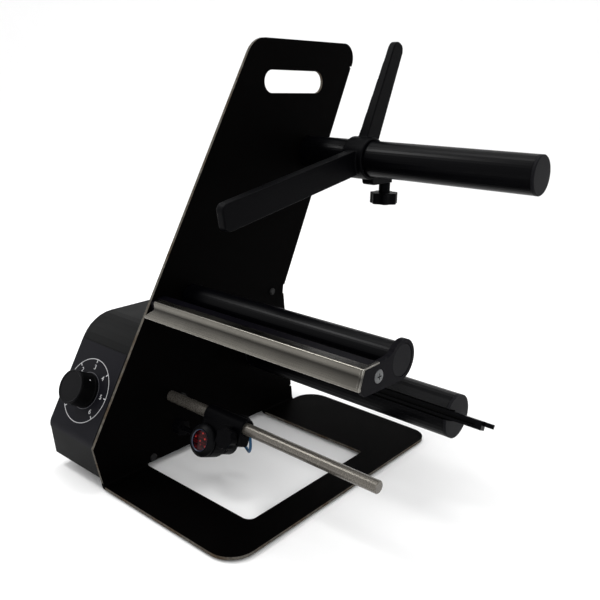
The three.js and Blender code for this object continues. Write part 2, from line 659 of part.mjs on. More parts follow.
function peelBar() {
  const { front, step, topRear, rear, bottom, shoulder, top } = PEEL_BAR;
  const { y, z, hole, depth } = PEEL_SCREW;
  const ledge = PEEL.top - PEEL.sheet - GAP;
  const bar = alongX(rounded([
    [front, bottom, 1], [rear, bottom, 1], [rear, shoulder, 2], [topRear, top, 1.5], [step, top, 0.5],
    [step, ledge], [front, ledge],
  ]), GAP, BRACKET.start - GAP);
  const holes = [rodX(hole, -1, depth, y, z), rodX(hole, BRACKET.start - depth, BRACKET.start + 1, y, z)];
  return cut(bar, ...holes);
}

// A countersunk screw, flush in the floor of the bracket's recess
function axleScrewOuter() {
  const { head, shank } = AXLE_SCREW;
  const crown = BRACKET.end - BRACKET.recessDepth - 0.2;
  const point = BRACKET.start - 13;
  return turnedX([
    [0, crown], [head, crown], [shank, crown - 2.2], [shank, point], [0, point],
  ], IDLER.y, IDLER.z);
}

function idlerAxle() {
  const end = BRACKET.start - GAP;
  const [bore, depth] = [PEEL_SCREW.hole, AXLE_SCREW.depth];
  return turnedX([
    [0, GAP + depth], [bore, GAP + depth], [bore, GAP], [IDLER.axle, GAP], [IDLER.axle, end], [bore, end],
    [bore, end - depth], [0, end - depth],
  ], IDLER.y, IDLER.z);
}

function idlerTube() {
  const { radius, wall, start, end, y, z } = IDLER;
  const bore = radius - wall;
  return turnedX([
    [bore, start + 1], [radius - 1, start], [radius, start + 1], [radius, end - 1], [radius - 1, end],
    [bore, end - 1], [bore, start + 1],
  ], y, z, FINE);
}

function capDisc() {
  const { thick, inset, bevel } = CAP_DISC;
  const [radius, face] = [BRACKET.recess - GAP, BRACKET.end - inset];
  return turnedX([
    [0, face - thick], [radius, face - thick], [radius, face - bevel], [radius - bevel, face], [0, face],
  ], IDLER.y, IDLER.z, FINE);
}

function idlerBush(from, to) {
  const outer = IDLER.radius - IDLER.wall - GAP;
  const inner = IDLER.axle + 0.2;
  return turnedX([[inner, from], [outer, from], [outer, to], [inner, to], [inner, from]], IDLER.y, IDLER.z);
}

part('peel_plate', peelPlate(), looks.stainless);
part('peel_bar', peelBar(), looks.blackPaint);
part('peel_bar_screw', screwX(BAR_SCREW, FAR_SIDE, 14, PEEL_SCREW.y, PEEL_SCREW.z), looks.zinc);
part('end_bracket', endBracket(), looks.blackPaint);
part('bracket_screw', bracketScrew(), looks.zinc);
part('bracket_cap_disc', capDisc(), looks.greyPlastic);
part('idler_roller', idlerTube(), looks.blackPaint);
part('idler_bush_inner', idlerBush(IDLER.start + 2, IDLER.start + 12), looks.blackPlastic);
part('idler_bush_outer', idlerBush(IDLER.end - 12, IDLER.end - 2), looks.blackPlastic);
part('idler_axle', idlerAxle(), looks.zinc);
part('axle_screw_inner', screwX(BAR_SCREW, FAR_SIDE, 13, IDLER.y, IDLER.z), looks.zinc);
part('axle_screw_outer', axleScrewOuter(), looks.zinc);

// ---------- take-up shaft, its drive and the liner clip ----------

// The shaft's section, drawn with its slot towards +Y and then turned to the slot's angle
function slottedOutline(radius, halfSlot, floor) {
  const half = Math.asin(halfSlot / radius);
  return new THREE.Shape([
    ...arcPoints(0, 0, radius, Math.PI / 2 + half, Math.PI * 2 - 2 * half),
    new THREE.Vector2(halfSlot, floor),
    new THREE.Vector2(-halfSlot, floor),
  ]);
}

function onRewind(geometry) {
  return geometry.rotateX(rad(SLOT.angle - 90)).translate(0, REWIND.y, REWIND.z);
}

const slotFloor = REWIND.radius - SLOT.depth;

function rewindShaft() {
  const outline = slottedOutline(REWIND.radius, SLOT.width / 2, slotFloor);
  const { radius, wall } = REWIND;
  const hollow = slottedOutline(radius - wall, SLOT.width / 2 + wall, slotFloor - wall);
  outline.holes.push(hollow);
  return onRewind(alongX(outline, REWIND.start, REWIND.end - 3.3));
}

function rewindEndDisc() {
  const outline = slottedOutline(REWIND.radius, SLOT.width / 2, slotFloor);
  return onRewind(alongX(outline, REWIND.end - 3, REWIND.end));
}

function rewindSpindle() {
  const { low, radius, start, bevelEnd } = SPINDLE_FLANGE;
  const [tail, face] = [GEAR.start - 4, REWIND.start - GAP];
  return turnedX([
    [0, tail], [REWIND.spindle, tail], [REWIND.spindle, start], [low, start], [radius, bevelEnd],
    [radius, face], [0, face],
  ], REWIND.y, REWIND.z, FINE);
}

function linerClip() {
  const { width, start, end, lift, tabEnd, tabSheet, tabLift, groove, grooveDepth } = CLIP;
  const low = slotFloor + lift;
  const top = low + width;
  const bar = box([start, -width / 2, low], [end, width / 2, top]);
  const tab = box([end - 1, 0, low + tabLift], [tabEnd, width / 2, low + tabLift + tabSheet]);
  const channel = box([start - 1, -groove / 2, top - grooveDepth], [end - 6, groove / 2, top + 1]);
  return onRewind(cut(join(bar, tab), channel));
}

function bearingHub() {
  const { radius, length, seat, flange, flangeThick, bore, lip } = HUB;
  const [far, near] = [FAR_SIDE - length, FAR_SIDE];
  return turnedX([
    [seat, near], [flange, near], [flange, near - flangeThick], [radius, near - flangeThick], [radius, far],
    [bore, far], [bore, far + lip], [seat, far + lip], [seat, near],
  ], REWIND.y, REWIND.z);
}

function bearing(from) {
  const inner = REWIND.spindle + 0.15;
  const { outer, width } = BEARING;
  return turnedX([
    [inner, from], [outer, from], [outer, from + width], [inner, from + width], [inner, from],
  ], REWIND.y, REWIND.z);
}

function driveGear() {
  const outline = withHoles(gearOutline(GEAR.driveTeeth, GEAR.module, 0), circle(0, 0, REWIND.spindle + GAP));
  return alongX(outline, GEAR.start, GEAR.start + GEAR.width).translate(0, REWIND.y, REWIND.z);
}

const pinionY = REWIND.y - PINION_OFFSET;

function motorPinion() {
  const outline = withHoles(gearOutline(GEAR.pinionTeeth, GEAR.module, Math.PI / GEAR.pinionTeeth),
    circle(0, 0, MOTOR.shaft + GAP));
  return alongX(outline, GEAR.start - 2, GEAR.start + GEAR.width + 1).translate(0, pinionY, REWIND.z);
}

function motorShaft() {
  return rodX(MOTOR.shaft, MOTOR.end - 8, GEAR.start + GEAR.width + 3, pinionY, REWIND.z);
}

function gearMotor() {
  const { radius, start, end, shaft, gearbox, nose, noseLength, bore } = MOTOR;
  const can = radius - 2;
  return turnedX([
    [0, start], [can - 2, start], [can, start + 2], [can, start + gearbox], [radius, start + gearbox],
    [radius, end], [nose, end], [nose, end + noseLength], [shaft + GAP, end + noseLength],
    [shaft + GAP, end - bore], [0, end - bore],
  ], pinionY, REWIND.z);
}

function motorBracket() {
  const { sheet, front, rear, webRear, reach, foot, hole } = MOTOR_BRACKET;
  const [far, near] = [MOTOR.end + GAP, MOTOR.end + GAP + sheet];
  const [bottom, top] = [REWIND.z - reach, REWIND.z + reach];
  const [frontY, rearY] = [pinionY - front, pinionY + rear];
  const outline = rounded([
    [frontY, bottom, 2], [pinionY + webRear, bottom, 2], [pinionY + webRear, top, 2], [frontY, top, 2],
  ]);
  const web = alongX(withHoles(outline, circle(pinionY, REWIND.z, hole)), far, near);
  const lowerLeg = box([far, frontY, bottom], [FAR_SIDE, rearY, bottom + sheet]);
  const lowerFoot = box([FAR_SIDE - sheet, frontY, bottom - foot], [FAR_SIDE, rearY, bottom + sheet]);
  const upperLeg = box([far, frontY, top - sheet], [FAR_SIDE, rearY, top]);
  const upperFoot = box([FAR_SIDE - sheet, frontY, top - sheet], [FAR_SIDE, rearY, top - sheet + foot]);
  return join(web, lowerLeg, lowerFoot, upperLeg, upperFoot);
}

part('rewind_shaft', rewindShaft(), looks.blackPaint);
part('rewind_end_disc', rewindEndDisc(), looks.greyPlastic);
part('rewind_spindle', rewindSpindle(), looks.zinc);
part('liner_clip', linerClip(), looks.blackPaint);
part('bearing_hub', bearingHub(), looks.aluminium);
part('spindle_bearing_outer', bearing(FAR_SIDE - BEARING.outerPlace), looks.zinc);
part('spindle_bearing_inner', bearing(FAR_SIDE - BEARING.innerPlace), looks.zinc);
part('drive_gear', driveGear(), looks.brass);
part('motor_pinion', motorPinion(), looks.brass);
part('motor_shaft', motorShaft(), looks.zinc);
part('gear_motor', gearMotor(), looks.zinc);
part('motor_bracket', motorBracket(), looks.zinc);

// ---------- sensor rod, clamp and sensor ----------

function sensorRod() {
  const { y, z, radius, end, bore, bevel } = ROD;
  const bar = turnedX([
    [0, GAP], [radius, GAP], [radius, end - bevel], [radius - bevel, end], [0, end],
  ], y, z);
  return cut(bar, rodX(bore, -1, 15, y, z));
}

part('sensor_rod', sensorRod(), looks.stainless);
part('sensor_rod_screw', screwX(ROD_SCREW, FAR_SIDE, 13, ROD.y, ROD.z), looks.zinc);

// The clamp's own frame: its origin is on the rod's axis, y runs to the rear and z up before it is tilted
const clampFrame = new THREE.Group();
clampFrame.position.set(0, ROD.y, ROD.z);
clampFrame.rotation.x = -rad(SENSOR.tilt);
dispenser.add(clampFrame);

// A cylinder along the barrel's axis, at a place across the clamp and below the rod
function rodBarrel(radius, from, to, x, drop, segments) {
  return rod(radius, -to, -from, segments).rotateX(Math.PI).translate(x, 0, -drop);
}

function sensorClamp() {
  const { start, end, front, rear, band, collar, lugBottom } = CLAMP;
  const { x, drop } = SENSOR;
  const sleeve = rodX(collar, start, end, 0, 0, ROUND);
  const ring = rodBarrel(band, front, rear, x, drop, ROUND);
  const web = box([start, front, -drop], [x + band, rear, -2]);
  const lug = alongX(rounded([[front, lugBottom, 3], [rear, lugBottom, 3], [rear, -1], [front, -1]]), x, end);
  const { sideReach, sideInset, sideHalf, sideHole } = CLAMP;
  const sideStart = x - band - sideReach;
  const side = box(
    [sideStart, front + sideInset, -drop - sideHalf], [x, rear - sideInset, -drop + sideHalf]);
  const rodBore = rodX(CLAMP.liner + GAP, start - 5, end + 5, 0, 0, ROUND);
  const barrelBore = rodBarrel(SENSOR.radius + GAP, front - 5, rear + 5, x, drop, ROUND);
  const knobHole = rodBarrel(ROD_KNOB.stud + GAP, front - 3, rear + 3, ROD_KNOB.x, ROD_KNOB.drop);
  const screwHole = rodX(sideHole, sideStart - 1, x, BARREL_KNOB.y, -drop);
  return cut(join(sleeve, ring, web, lug, side), rodBore, barrelBore, knobHole, screwHole);
}

function clampLiner() {
  const inner = ROD.radius + 0.15;
  const [from, to] = [CLAMP.start + 2, CLAMP.end - 2];
  return turnedX([[inner, from], [CLAMP.liner, from], [CLAMP.liner, to], [inner, to], [inner, from]], 0, 0);
}

function rodClampKnob() {
  const { x, drop, radius, lobes, lobeDepth, thick, neck, neckRadius, stud } = ROD_KNOB;
  const face = CLAMP.front - GAP;
  const grip = alongY(lobed(radius, lobes, lobeDepth), face - neck - thick, face - neck);
  const stem = rod(neckRadius, face - neck - 0.5, face);
  const thread = rod(stud, face - 1, CLAMP.rear - 1);
  return join(grip, stem, thread).translate(x, 0, -drop);
}

function barrelClampKnob() {
  const { start, end, radius, lobes, lobeDepth, stud, y } = BARREL_KNOB;
  const grip = alongX(lobed(radius, lobes, lobeDepth), start, end);
  const thread = rodX(stud, end - 1, SENSOR.x - SENSOR.radius - GAP - 0.4, 0, 0);
  return join(grip, thread).translate(0, y, -SENSOR.drop);
}

// A turned piece on the barrel's axis: the profile's points are [radius, y]
function onBarrel(profile, segments = ROUND) {
  const points = profile.map(([radius, y]) => new THREE.Vector2(radius, y));
  return new THREE.LatheGeometry(points, segments).translate(SENSOR.x, 0, -SENSOR.drop);
}

// The barrel's front face and its tail, which narrows to the lead
function sensorBarrel() {
  const { radius, front, rear } = SENSOR;
  const [face, tailRadius, leadRadius] = [front + GAP, 4.5, 2.2];
  return onBarrel([
    [0, face], [radius - 0.6, face], [radius, front + 1], [radius, rear - 2], [radius - 2, rear],
    [tailRadius, rear], [tailRadius, rear + 5], [leadRadius, rear + 7], [0, rear + 7],
  ]);
}

function sensorBezel() {
  const { bezel, lens, front } = SENSOR;
  const [inside, seat] = [lens + GAP, 10.5];
  return onBarrel([
    [inside, front - 1], [inside, front - 5.6], [lens + 1.6, front - 6], [bezel - 2.4, front - 4],
    [bezel, front - 2.4], [bezel, front], [seat, front], [inside, front - 1],
  ]);
}

function sensorLens() {
  const { lens, front } = SENSOR;
  return onBarrel([
    [0, front - 0.4], [lens, front - 0.4], [lens, front - 4.2], [lens * 0.6, front - 4.8], [0, front - 5],
  ]);
}

part('clamp_liner', clampLiner(), looks.blackPlastic, clampFrame);
part('sensor_clamp', sensorClamp(), looks.blackPlastic, clampFrame);
part('rod_clamp_knob', rodClampKnob(), looks.blackPlastic, clampFrame);
part('barrel_clamp_knob', barrelClampKnob(), looks.blackPlastic, clampFrame);
part('sensor_barrel', sensorBarrel(), looks.greyPlastic, clampFrame);
part('sensor_bezel', sensorBezel(), looks.greyPlastic, clampFrame);
part('sensor_lens', sensorLens(), looks.redLens, clampFrame);

// Sensor lead: a blue stretch from the barrel's tail round to a coupler behind the rod, then a black
// cable that runs behind the rod and through the side plate to the board
const LEAD_RADIUS = 1.4;
const CABLE_RADIUS = 1.7;
const COUPLER = { x: 93, y: 102, z: 57.5, radius: 3, length: 9, bevel: 0.8 };
const leadRoute = [
  [67, 107.8, 32.4], [67.5, 111.3, 30.9], [70, 113.8, 29.2], [75, 114, 26.9], [80, 112, 26],
  [84.5, 109, 27], [88.5, 106, 30], [91.6, 104, 35], [93, 102.8, 41.5], [93.2, 102.1, 47.5],
  [93, 102, 52.6],
];
const cableRoute = [
  [93, 102, 62.4], [92.6, 101.8, 65], [90.4, 101.2, 67.2], [86.4, 100.3, 67.8], [81, 99.3, 66.8],
  [72, 98.4, 64], [60, 98, 61], [48, 97.8, 58.8], [36, 97.5, 57.6], [24, 97.2, 57.7], [14, 97, 58.8],
  [5, 97, 59.8], [-3, 97, 60], [-11.6, 97, 60],
];

function leadCoupler() {
  const { x, y, z, radius, length, bevel } = COUPLER;
  return turnedZ([
    [0, 0], [radius - bevel, 0], [radius, bevel], [radius, length - bevel], [radius - bevel, length],
    [0, length],
  ]).translate(x, y, z - length / 2);
}

function cableGrommet() {
  const { y, z, hole, flange, outside, inside } = GROMMET;
  const [bore, neck, far] = [CABLE_RADIUS + GAP, hole - GAP, -SHEET - outside];
  return turnedX([
    [bore, far], [flange, far], [flange, FAR_SIDE], [neck, FAR_SIDE], [neck, GAP], [flange, GAP],
    [flange - 0.6, inside], [bore, inside], [bore, far],
  ], y, z);
}

part('sensor_lead', tubeAlong(leadRoute, LEAD_RADIUS, 20), looks.blueCable);
part('sensor_cable', tubeAlong(cableRoute, CABLE_RADIUS, 36), looks.rubber);
part('lead_coupler', leadCoupler(), looks.blackPlastic);
part('cable_grommet', cableGrommet(), looks.rubber);

// ---------- housing, controls and board ----------

// Where the housing's slanting face and its rear edge are at a height
const faceY = (z) => ELBOW.y + (z - ELBOW.z) * Math.tan(slant) + FACE_SETBACK / Math.cos(slant);
const rearY = (z, inward = HOUSING.rearInset) => rearEdge(z, inward).x;
const housingLow = HOUSING.bottom;
const housingPath = [
  [rearY(housingLow), housingLow],
  [HOUSING.chin, housingLow, HOUSING_ROUND.chin],
  [faceY(HOUSING.elbow), HOUSING.elbow, HOUSING_ROUND.elbow],
  [faceY(HOUSING.top), HOUSING.top, HOUSING_ROUND.top],
  [rearY(HOUSING.top - 1), HOUSING.top],
];

// The dial's own frame: its origin is on the housing's face, z points out of the face and y up along it
const dialFrame = new THREE.Group();
dialFrame.position.set(
  DIAL.x, faceY(ELBOW.z) + DIAL.up * Math.sin(slant), ELBOW.z + DIAL.up * Math.cos(slant));
dialFrame.rotation.x = faceTilt;
dispenser.add(dialFrame);

function inDialFrame(geometry) {
  return geometry.rotateX(faceTilt).translate(...dialFrame.position.toArray());
}

function housingCover() {
  const [outer, inner] = [-SHEET - GAP - HOUSING.width + GAP, -SHEET - GAP];
  const block = alongX(rounded(housingPath), outer, inner);
  const inside = offsetPath(housingPath, -HOUSING.sheet);
  inside[0][0] += 12;
  inside[inside.length - 1][0] += 12;
  const hollow = alongX(rounded(inside), outer + HOUSING.sheet, inner + 5);
  const bushingHole = inDialFrame(rodZ(DIAL.bushing, -8, 5, 0, 0));
  return cut(block, hollow, bushingHole);
}

// A thin film on the face, wrapped round the elbow below it
function dialOverlay() {
  const along = (up) => [faceY(ELBOW.z) + up * Math.sin(slant), ELBOW.z + up * Math.cos(slant)];
  const skin = offsetPath([housingPath[1], housingPath[2], along(OVERLAY.top)], GAP);
  const share = (HOUSING.elbow - OVERLAY.low) / (HOUSING.elbow - housingLow);
  const low = new THREE.Vector2(...skin[1]).lerp(new THREE.Vector2(...skin[0]), share);
  const path = [[low.x, low.y], skin[1], skin[2]];
  const film = alongX(sheetOutline(path, OVERLAY.sheet), -SHEET - HOUSING.width + 1, FAR_SIDE - 1);
  return cut(film, inDialFrame(rodZ(OVERLAY.hole, -5, 5, 0, 0)));
}

// Frames on the rear panel: y points out of the panel to the rear
const panelFace = HOUSING.rearInset + 0.4;
const panelLean = Math.atan2(REAR_FOOT_Y - KINK.y, KINK.z);
const onRearPanel = (geometry, x, z) =>
  geometry.rotateX(panelLean).translate(x, rearY(z, panelFace), z);
const switchFrame = (geometry) => onRearPanel(geometry, SWITCH.x, SWITCH.z);
const jackFrame = (geometry) => onRearPanel(geometry, JACK.x, JACK.z);

function rearPanel() {
  const [low, high] = [housingLow + HOUSING.sheet + GAP, HOUSING.top - HOUSING.sheet - GAP];
  const inner = panelFace + HOUSING.sheet;
  const section = rounded([
    [rearY(low, panelFace), low], [rearY(high, panelFace), high], [rearY(high, inner), high],
    [rearY(low, inner), low],
  ]);
  const sheet = alongX(section, -SHEET - HOUSING.width + HOUSING.sheet + GAP, FAR_SIDE - GAP);
  const [halfWidth, halfHeight] = [SWITCH.halfWidth + GAP, SWITCH.halfHeight + GAP];
  const switchHole = switchFrame(box([-halfWidth, -10, -halfHeight], [halfWidth, 10, halfHeight]));
  const jackHole = jackFrame(rod(JACK.body + 0.4, -10, 10));
  return cut(sheet, switchHole, jackHole);
}

function switchBody() {
  const { halfWidth, halfHeight, depth, rim, terminal } = SWITCH;
  const bezel = box([-halfWidth - rim, GAP, -halfHeight - rim], [halfWidth + rim, 2, halfHeight + rim]);
  const body = box([-halfWidth, -depth, -halfHeight], [halfWidth, 1, halfHeight]);
  const well = box([-4.8, -6, -8.6], [4.8, 3, 8.6]);
  const terminals = [-terminal, terminal].map((z) =>
    box([-2.4, -depth - 6, z - 0.5], [2.4, 1 - depth, z + 0.5]));
  return switchFrame(cut(join(bezel, body, ...terminals), well));
}

function switchRocker() {
  const outline = rounded([[-8, -3.2], [0, -5.2], [8, -3.2], [7.8, 0.6, 1], [0, 1.2], [-7.8, 4, 1]]);
  // drawn with z to the right and y up
  const turn = new THREE.Matrix4().makeBasis(
    new THREE.Vector3(0, 0, 1), new THREE.Vector3(0, 1, 0), new THREE.Vector3(-1, 0, 0));
  return switchFrame(alongZ(outline, -4.5, 4.5).applyMatrix4(turn));
}

function powerJack() {
  const { body, flange, bore, boreDepth, depth, pin } = JACK;
  const profile = [
    [0, -depth], [body, -depth], [body, GAP], [flange, GAP], [flange, 2], [bore, 2], [bore, -boreDepth],
    [0, -boreDepth],
  ];
  const shell = new THREE.LatheGeometry(profile.map(([radius, y]) => new THREE.Vector2(radius, y)));
  return jackFrame(join(shell, rod(pin, -boreDepth - 1, 1, 16)));
}

// The board stands beside the side plate; its parts stick out towards the plate
function controllerBoard() {
  const { x, sheet, front, rear, bottom, top } = BOARD;
  const foot = x - 0.5;
  const board = box([x - sheet, front, bottom], [x, rear, top]);
  const socket = box([foot, 91, 55], [-12 + GAP - 0.2, 103, 65]);
  const capacitors = [58, 74].map((y) => rodX(5.5, foot, x + 13, y, 44, 20));
  const chip = box([foot, 66, 74], [x + 2.4, 84, 84]);
  const relay = box([foot, 94, 84], [x + 12, 110, 104]);
  const terminalBlock = box([foot, 50, 98], [x + 9, 82, 107]);
  return join(board, socket, ...capacitors, chip, relay, terminalBlock);
}

function potentiometer() {
  const { radius, low, bushing, bushingTop, bore, boreLow } = POT;
  const collar = -HOUSING.sheet - GAP;
  const can = turnedZ([
    [0, low], [radius, low], [radius, collar], [bushing, collar], [bushing, bushingTop], [bore, bushingTop],
    [bore, boreLow], [0, boreLow],
  ]);
  const terminals = box([-6, low - 2, -8], [6, -7, -7]);
  return join(can, terminals);
}

function hexagon(radius) {
  const angles = Array.from({ length: 6 }, (_, i) => rad(60 * i));
  return rounded(angles.map((angle) => [radius * Math.cos(angle), radius * Math.sin(angle)]));
}

function speedKnob() {
  const { radius, height, bevel, skirt, skirtLow, skirtTop, hollow, hollowTop, bore, boreTop } = SPEED_KNOB;
  const body = turnedZ([
    [0, height], [radius - bevel, height], [radius, height - bevel], [radius, skirtTop + 0.6],
    [skirt, skirtTop], [skirt, skirtLow], [hollow, skirtLow], [hollow, hollowTop], [bore, hollowTop],
    [bore, boreTop], [0, boreTop],
  ], FINE);
  const pointer = box([-0.6, radius - 0.8, 4.5], [0.6, radius + 0.35, 9]);
  return join(body, pointer.rotateZ(rad(SPEED_KNOB.pointer - 90)));
}

part('housing_cover', housingCover(), looks.greyPaint);
part('dial_overlay', dialOverlay(), looks.overlayFilm);
part('rear_panel', rearPanel(), looks.greyPaint);
part('power_switch_body', switchBody(), looks.blackPlastic);
part('power_switch_rocker', switchRocker(), looks.blackPlastic);
part('power_jack', powerJack(), looks.blackPlastic);
part('controller_board', controllerBoard(), looks.circuitBoard);
part('potentiometer', potentiometer(), looks.zinc, dialFrame);
part('potentiometer_nut', alongZ(withHoles(hexagon(POT.nut), circle(0, 0, POT.bushing + GAP)), 1.3, 3.3),
  looks.zinc, dialFrame);
part('potentiometer_shaft', rodZ(POT.shaft, -6.5, 16.6, 0, 0), looks.zinc, dialFrame);
part('speed_knob', speedKnob(), looks.blackPlastic, dialFrame);
for (const [name, y, z] of COVER_SCREWS) {
  part(name, screwX(COVER_SCREW, GAP, GAP - SHEET, y, z), looks.blackPaint);
}

export default object;
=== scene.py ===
# Looks of a motorised label dispenser: camera, studio, cables, finer pieces and every surface finish.
import math

import bmesh
import bpy
from mathutils import Matrix, Vector


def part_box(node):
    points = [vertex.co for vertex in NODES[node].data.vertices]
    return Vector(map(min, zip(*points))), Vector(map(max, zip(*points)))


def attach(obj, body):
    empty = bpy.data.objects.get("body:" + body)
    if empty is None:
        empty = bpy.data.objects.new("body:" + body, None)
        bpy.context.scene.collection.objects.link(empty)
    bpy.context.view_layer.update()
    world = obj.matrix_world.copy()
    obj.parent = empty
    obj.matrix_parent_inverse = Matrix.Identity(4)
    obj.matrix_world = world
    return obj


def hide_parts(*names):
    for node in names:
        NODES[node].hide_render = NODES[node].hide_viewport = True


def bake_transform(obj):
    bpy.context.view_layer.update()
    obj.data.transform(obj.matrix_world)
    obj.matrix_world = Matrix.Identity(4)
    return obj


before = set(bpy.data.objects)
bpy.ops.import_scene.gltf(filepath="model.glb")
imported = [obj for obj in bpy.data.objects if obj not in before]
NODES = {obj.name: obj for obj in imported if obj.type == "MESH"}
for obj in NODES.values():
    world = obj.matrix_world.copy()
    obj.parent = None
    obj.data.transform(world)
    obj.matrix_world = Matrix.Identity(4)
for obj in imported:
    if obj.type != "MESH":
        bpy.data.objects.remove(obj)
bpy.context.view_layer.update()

MM = 0.001
SCENE = bpy.context.scene

# The part's own millimetres, as on its drawing, are turned into the frame's metres by this origin
ORIGIN = Vector((107, 179, -2))


def place(x, y, z):
    """A point of the drawing, in millimetres, as a point of the frame, in metres."""
    return (Vector((x, y, z)) - ORIGIN) * MM


# ---------- camera ----------

CAMERA_PLACE = Vector((0.4135, -0.5131, 0.3724))
CAMERA_TURN = math.radians(40.218)  # to the left of +Y
CAMERA_DOWN = math.radians(16.909)
CAMERA_ROLL = math.radians(1.1925)
SENSOR_WIDTH = 36.0
LENS = 42.77


def add_camera():
    turn, down, roll = CAMERA_TURN, CAMERA_DOWN, CAMERA_ROLL
    ahead = Vector(
        (-math.sin(turn) * math.cos(down), math.cos(turn) * math.cos(down), -math.sin(down)))
    level = Vector((math.cos(turn), math.sin(turn), 0))
    above = level.cross(ahead)
    right = level * math.cos(roll) + above * math.sin(roll)
    up = above * math.cos(roll) - level * math.sin(roll)
    data = bpy.data.cameras.new("camera")
    data.lens = LENS
    data.sensor_width = SENSOR_WIDTH
    data.clip_start = 0.01
    camera = bpy.data.objects.new("camera", data)
    turned = Matrix((right, up, -ahead)).transposed().to_4x4()
    camera.matrix_world = Matrix.Translation(CAMERA_PLACE) @ turned
    SCENE.collection.objects.link(camera)
    SCENE.camera = camera


add_camera()

# ---------- mesh helpers ----------

SMOOTH_ANGLE = math.radians(30)


def full_turn(steps):
    """Evenly spaced angles once round a circle."""
    return [2 * math.pi * k / steps for k in range(steps)]


def add_piece(name, build, material, body, smooth=True):
    """A new mesh object from a bmesh that build() fills; it rides on a body."""
    shape = bmesh.new()
    build(shape)
    bmesh.ops.recalc_face_normals(shape, faces=shape.faces)
    mesh = bpy.data.meshes.new(name)
    shape.to_mesh(mesh)
    shape.free()
    if smooth:
        mesh.shade_smooth()
        mesh.set_sharp_from_angle(angle=SMOOTH_ANGLE)
    mesh.materials.append(material)
    piece = bpy.data.objects.new(name, mesh)
    SCENE.collection.objects.link(piece)
    if body:
        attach(piece, body)
    return piece


def route_points(corners, spacing=0.0012):
    """A centripetal Catmull-Rom curve through the corners, as close-set points."""
    ends = [2 * corners[0] - corners[1], *corners, 2 * corners[-1] - corners[-2]]
    points = []
    for i in range(1, len(ends) - 2):
        p0, p1, p2, p3 = ends[i - 1:i + 3]
        knots = [0.0]
        for a, b in ((p0, p1), (p1, p2), (p2, p3)):
            knots.append(knots[-1] + math.sqrt((b - a).length))
        t0, t1, t2, t3 = knots
        steps = max(2, math.ceil((p2 - p1).length / spacing))
        for k in range(steps):
            t = t1 + (t2 - t1) * k / steps
            a1 = p0 * ((t1 - t) / (t1 - t0)) + p1 * ((t - t0) / (t1 - t0))
            a2 = p1 * ((t2 - t) / (t2 - t1)) + p2 * ((t - t1) / (t2 - t1))
            a3 = p2 * ((t3 - t) / (t3 - t2)) + p3 * ((t - t2) / (t3 - t2))
            b1 = a1 * ((t2 - t) / (t2 - t0)) + a2 * ((t - t0) / (t2 - t0))
            b2 = a2 * ((t3 - t) / (t3 - t1)) + a3 * ((t - t1) / (t3 - t1))
            points.append(b1 * ((t2 - t) / (t2 - t1)) + b2 * ((t - t1) / (t2 - t1)))
    return points + [corners[-1]]


def tube_builder(points, radius, sides=18):
    """Fills a bmesh with a closed round tube along the points."""
    def build(shape):
        rings = []
        side = None
        for i, point in enumerate(points):
            along = (points[min(i + 1, len(points) - 1)] - points[max(i - 1, 0)]).normalized()
            if side is None:
                side = along.orthogonal().normalized()
            side = (side - along * side.dot(along)).normalized()
            other = along.cross(side)
            spokes = [side * math.cos(turn) + other * math.sin(turn) for turn in full_turn(sides)]
            rings.append([shape.verts.new(point + spoke * radius) for spoke in spokes])
        for first, second in zip(rings, rings[1:]):
            for k in range(sides):
                shape.faces.new((first[k], first[(k + 1) % sides], second[(k + 1) % sides], second[k]))
        shape.faces.new(rings[0][::-1])
        shape.faces.new(rings[-1])
    return build


def turned_builder(profile, where, segments=96):
    """Fills a bmesh with a turned solid; the profile is a row of (radius, height) in millimetres."""
    def build(shape):
        rings = []
        for radius, height in profile:
            if radius == 0:
                rings.append([shape.verts.new(where @ Vector((0, 0, height * MM)))])
                continue
            circle = [
                Vector((radius * math.cos(turn), radius * math.sin(turn), height)) * MM
                for turn in full_turn(segments)]
            rings.append([shape.verts.new(where @ point) for point in circle])
        for first, second in zip(rings, rings[1:]):
            for k in range(segments):
                after = (k + 1) % segments
                corners = [first[k % len(first)], first[after % len(first)],
                           second[after % len(second)], second[k % len(second)]]
                corners = list(dict.fromkeys(corners))
                if len(corners) > 2:
                    shape.faces.new(corners)
    return build


# ---------- materials ----------

def shade_node(tree, kind, inputs=None, **settings):
    node = tree.nodes.new(kind)
    for name, value in settings.items():
        setattr(node, name, value)
    for name, value in (inputs or {}).items():
        if isinstance(value, bpy.types.NodeSocket):
            tree.links.new(value, node.inputs[name])
        else:
            node.inputs[name].default_value = value
    return node


def noise(tree, where, scale, detail=3.0):
    inputs = {"Vector": where, "Scale": scale, "Detail": detail}
    return shade_node(tree, "ShaderNodeTexNoise", inputs).outputs["Fac"]


def remap(tree, value, low, high, to_low, to_high):
    inputs = {"Value": value, "From Min": low, "From Max": high, "To Min": to_low, "To Max": to_high}
    return shade_node(tree, "ShaderNodeMapRange", inputs).outputs["Result"]


def calculate(tree, operation, first, second):
    return shade_node(tree, "ShaderNodeMath", {0: first, 1: second}, operation=operation).outputs[0]


def blend_colours(tree, share, first, second):
    node = shade_node(tree, "ShaderNodeMix", data_type="RGBA")
    for socket, value in ((node.inputs[0], share), (node.inputs[6], first), (node.inputs[7], second)):
        if isinstance(value, bpy.types.NodeSocket):
            tree.links.new(value, socket)
        else:
            socket.default_value = value
    return node.outputs[2]


def rgba(colour):
    return (*colour, 1.0)


def tree_and_shader(material):
    tree = material.node_tree
    return tree, tree.nodes["Principled BSDF"]


def own_place(tree):
    """The point being shaded, in its object's own metres."""
    return shade_node(tree, "ShaderNodeTexCoord").outputs["Object"]


def part_of(tree, vector, axis):
    return shade_node(tree, "ShaderNodeSeparateXYZ", {"Vector": vector}).outputs[axis]


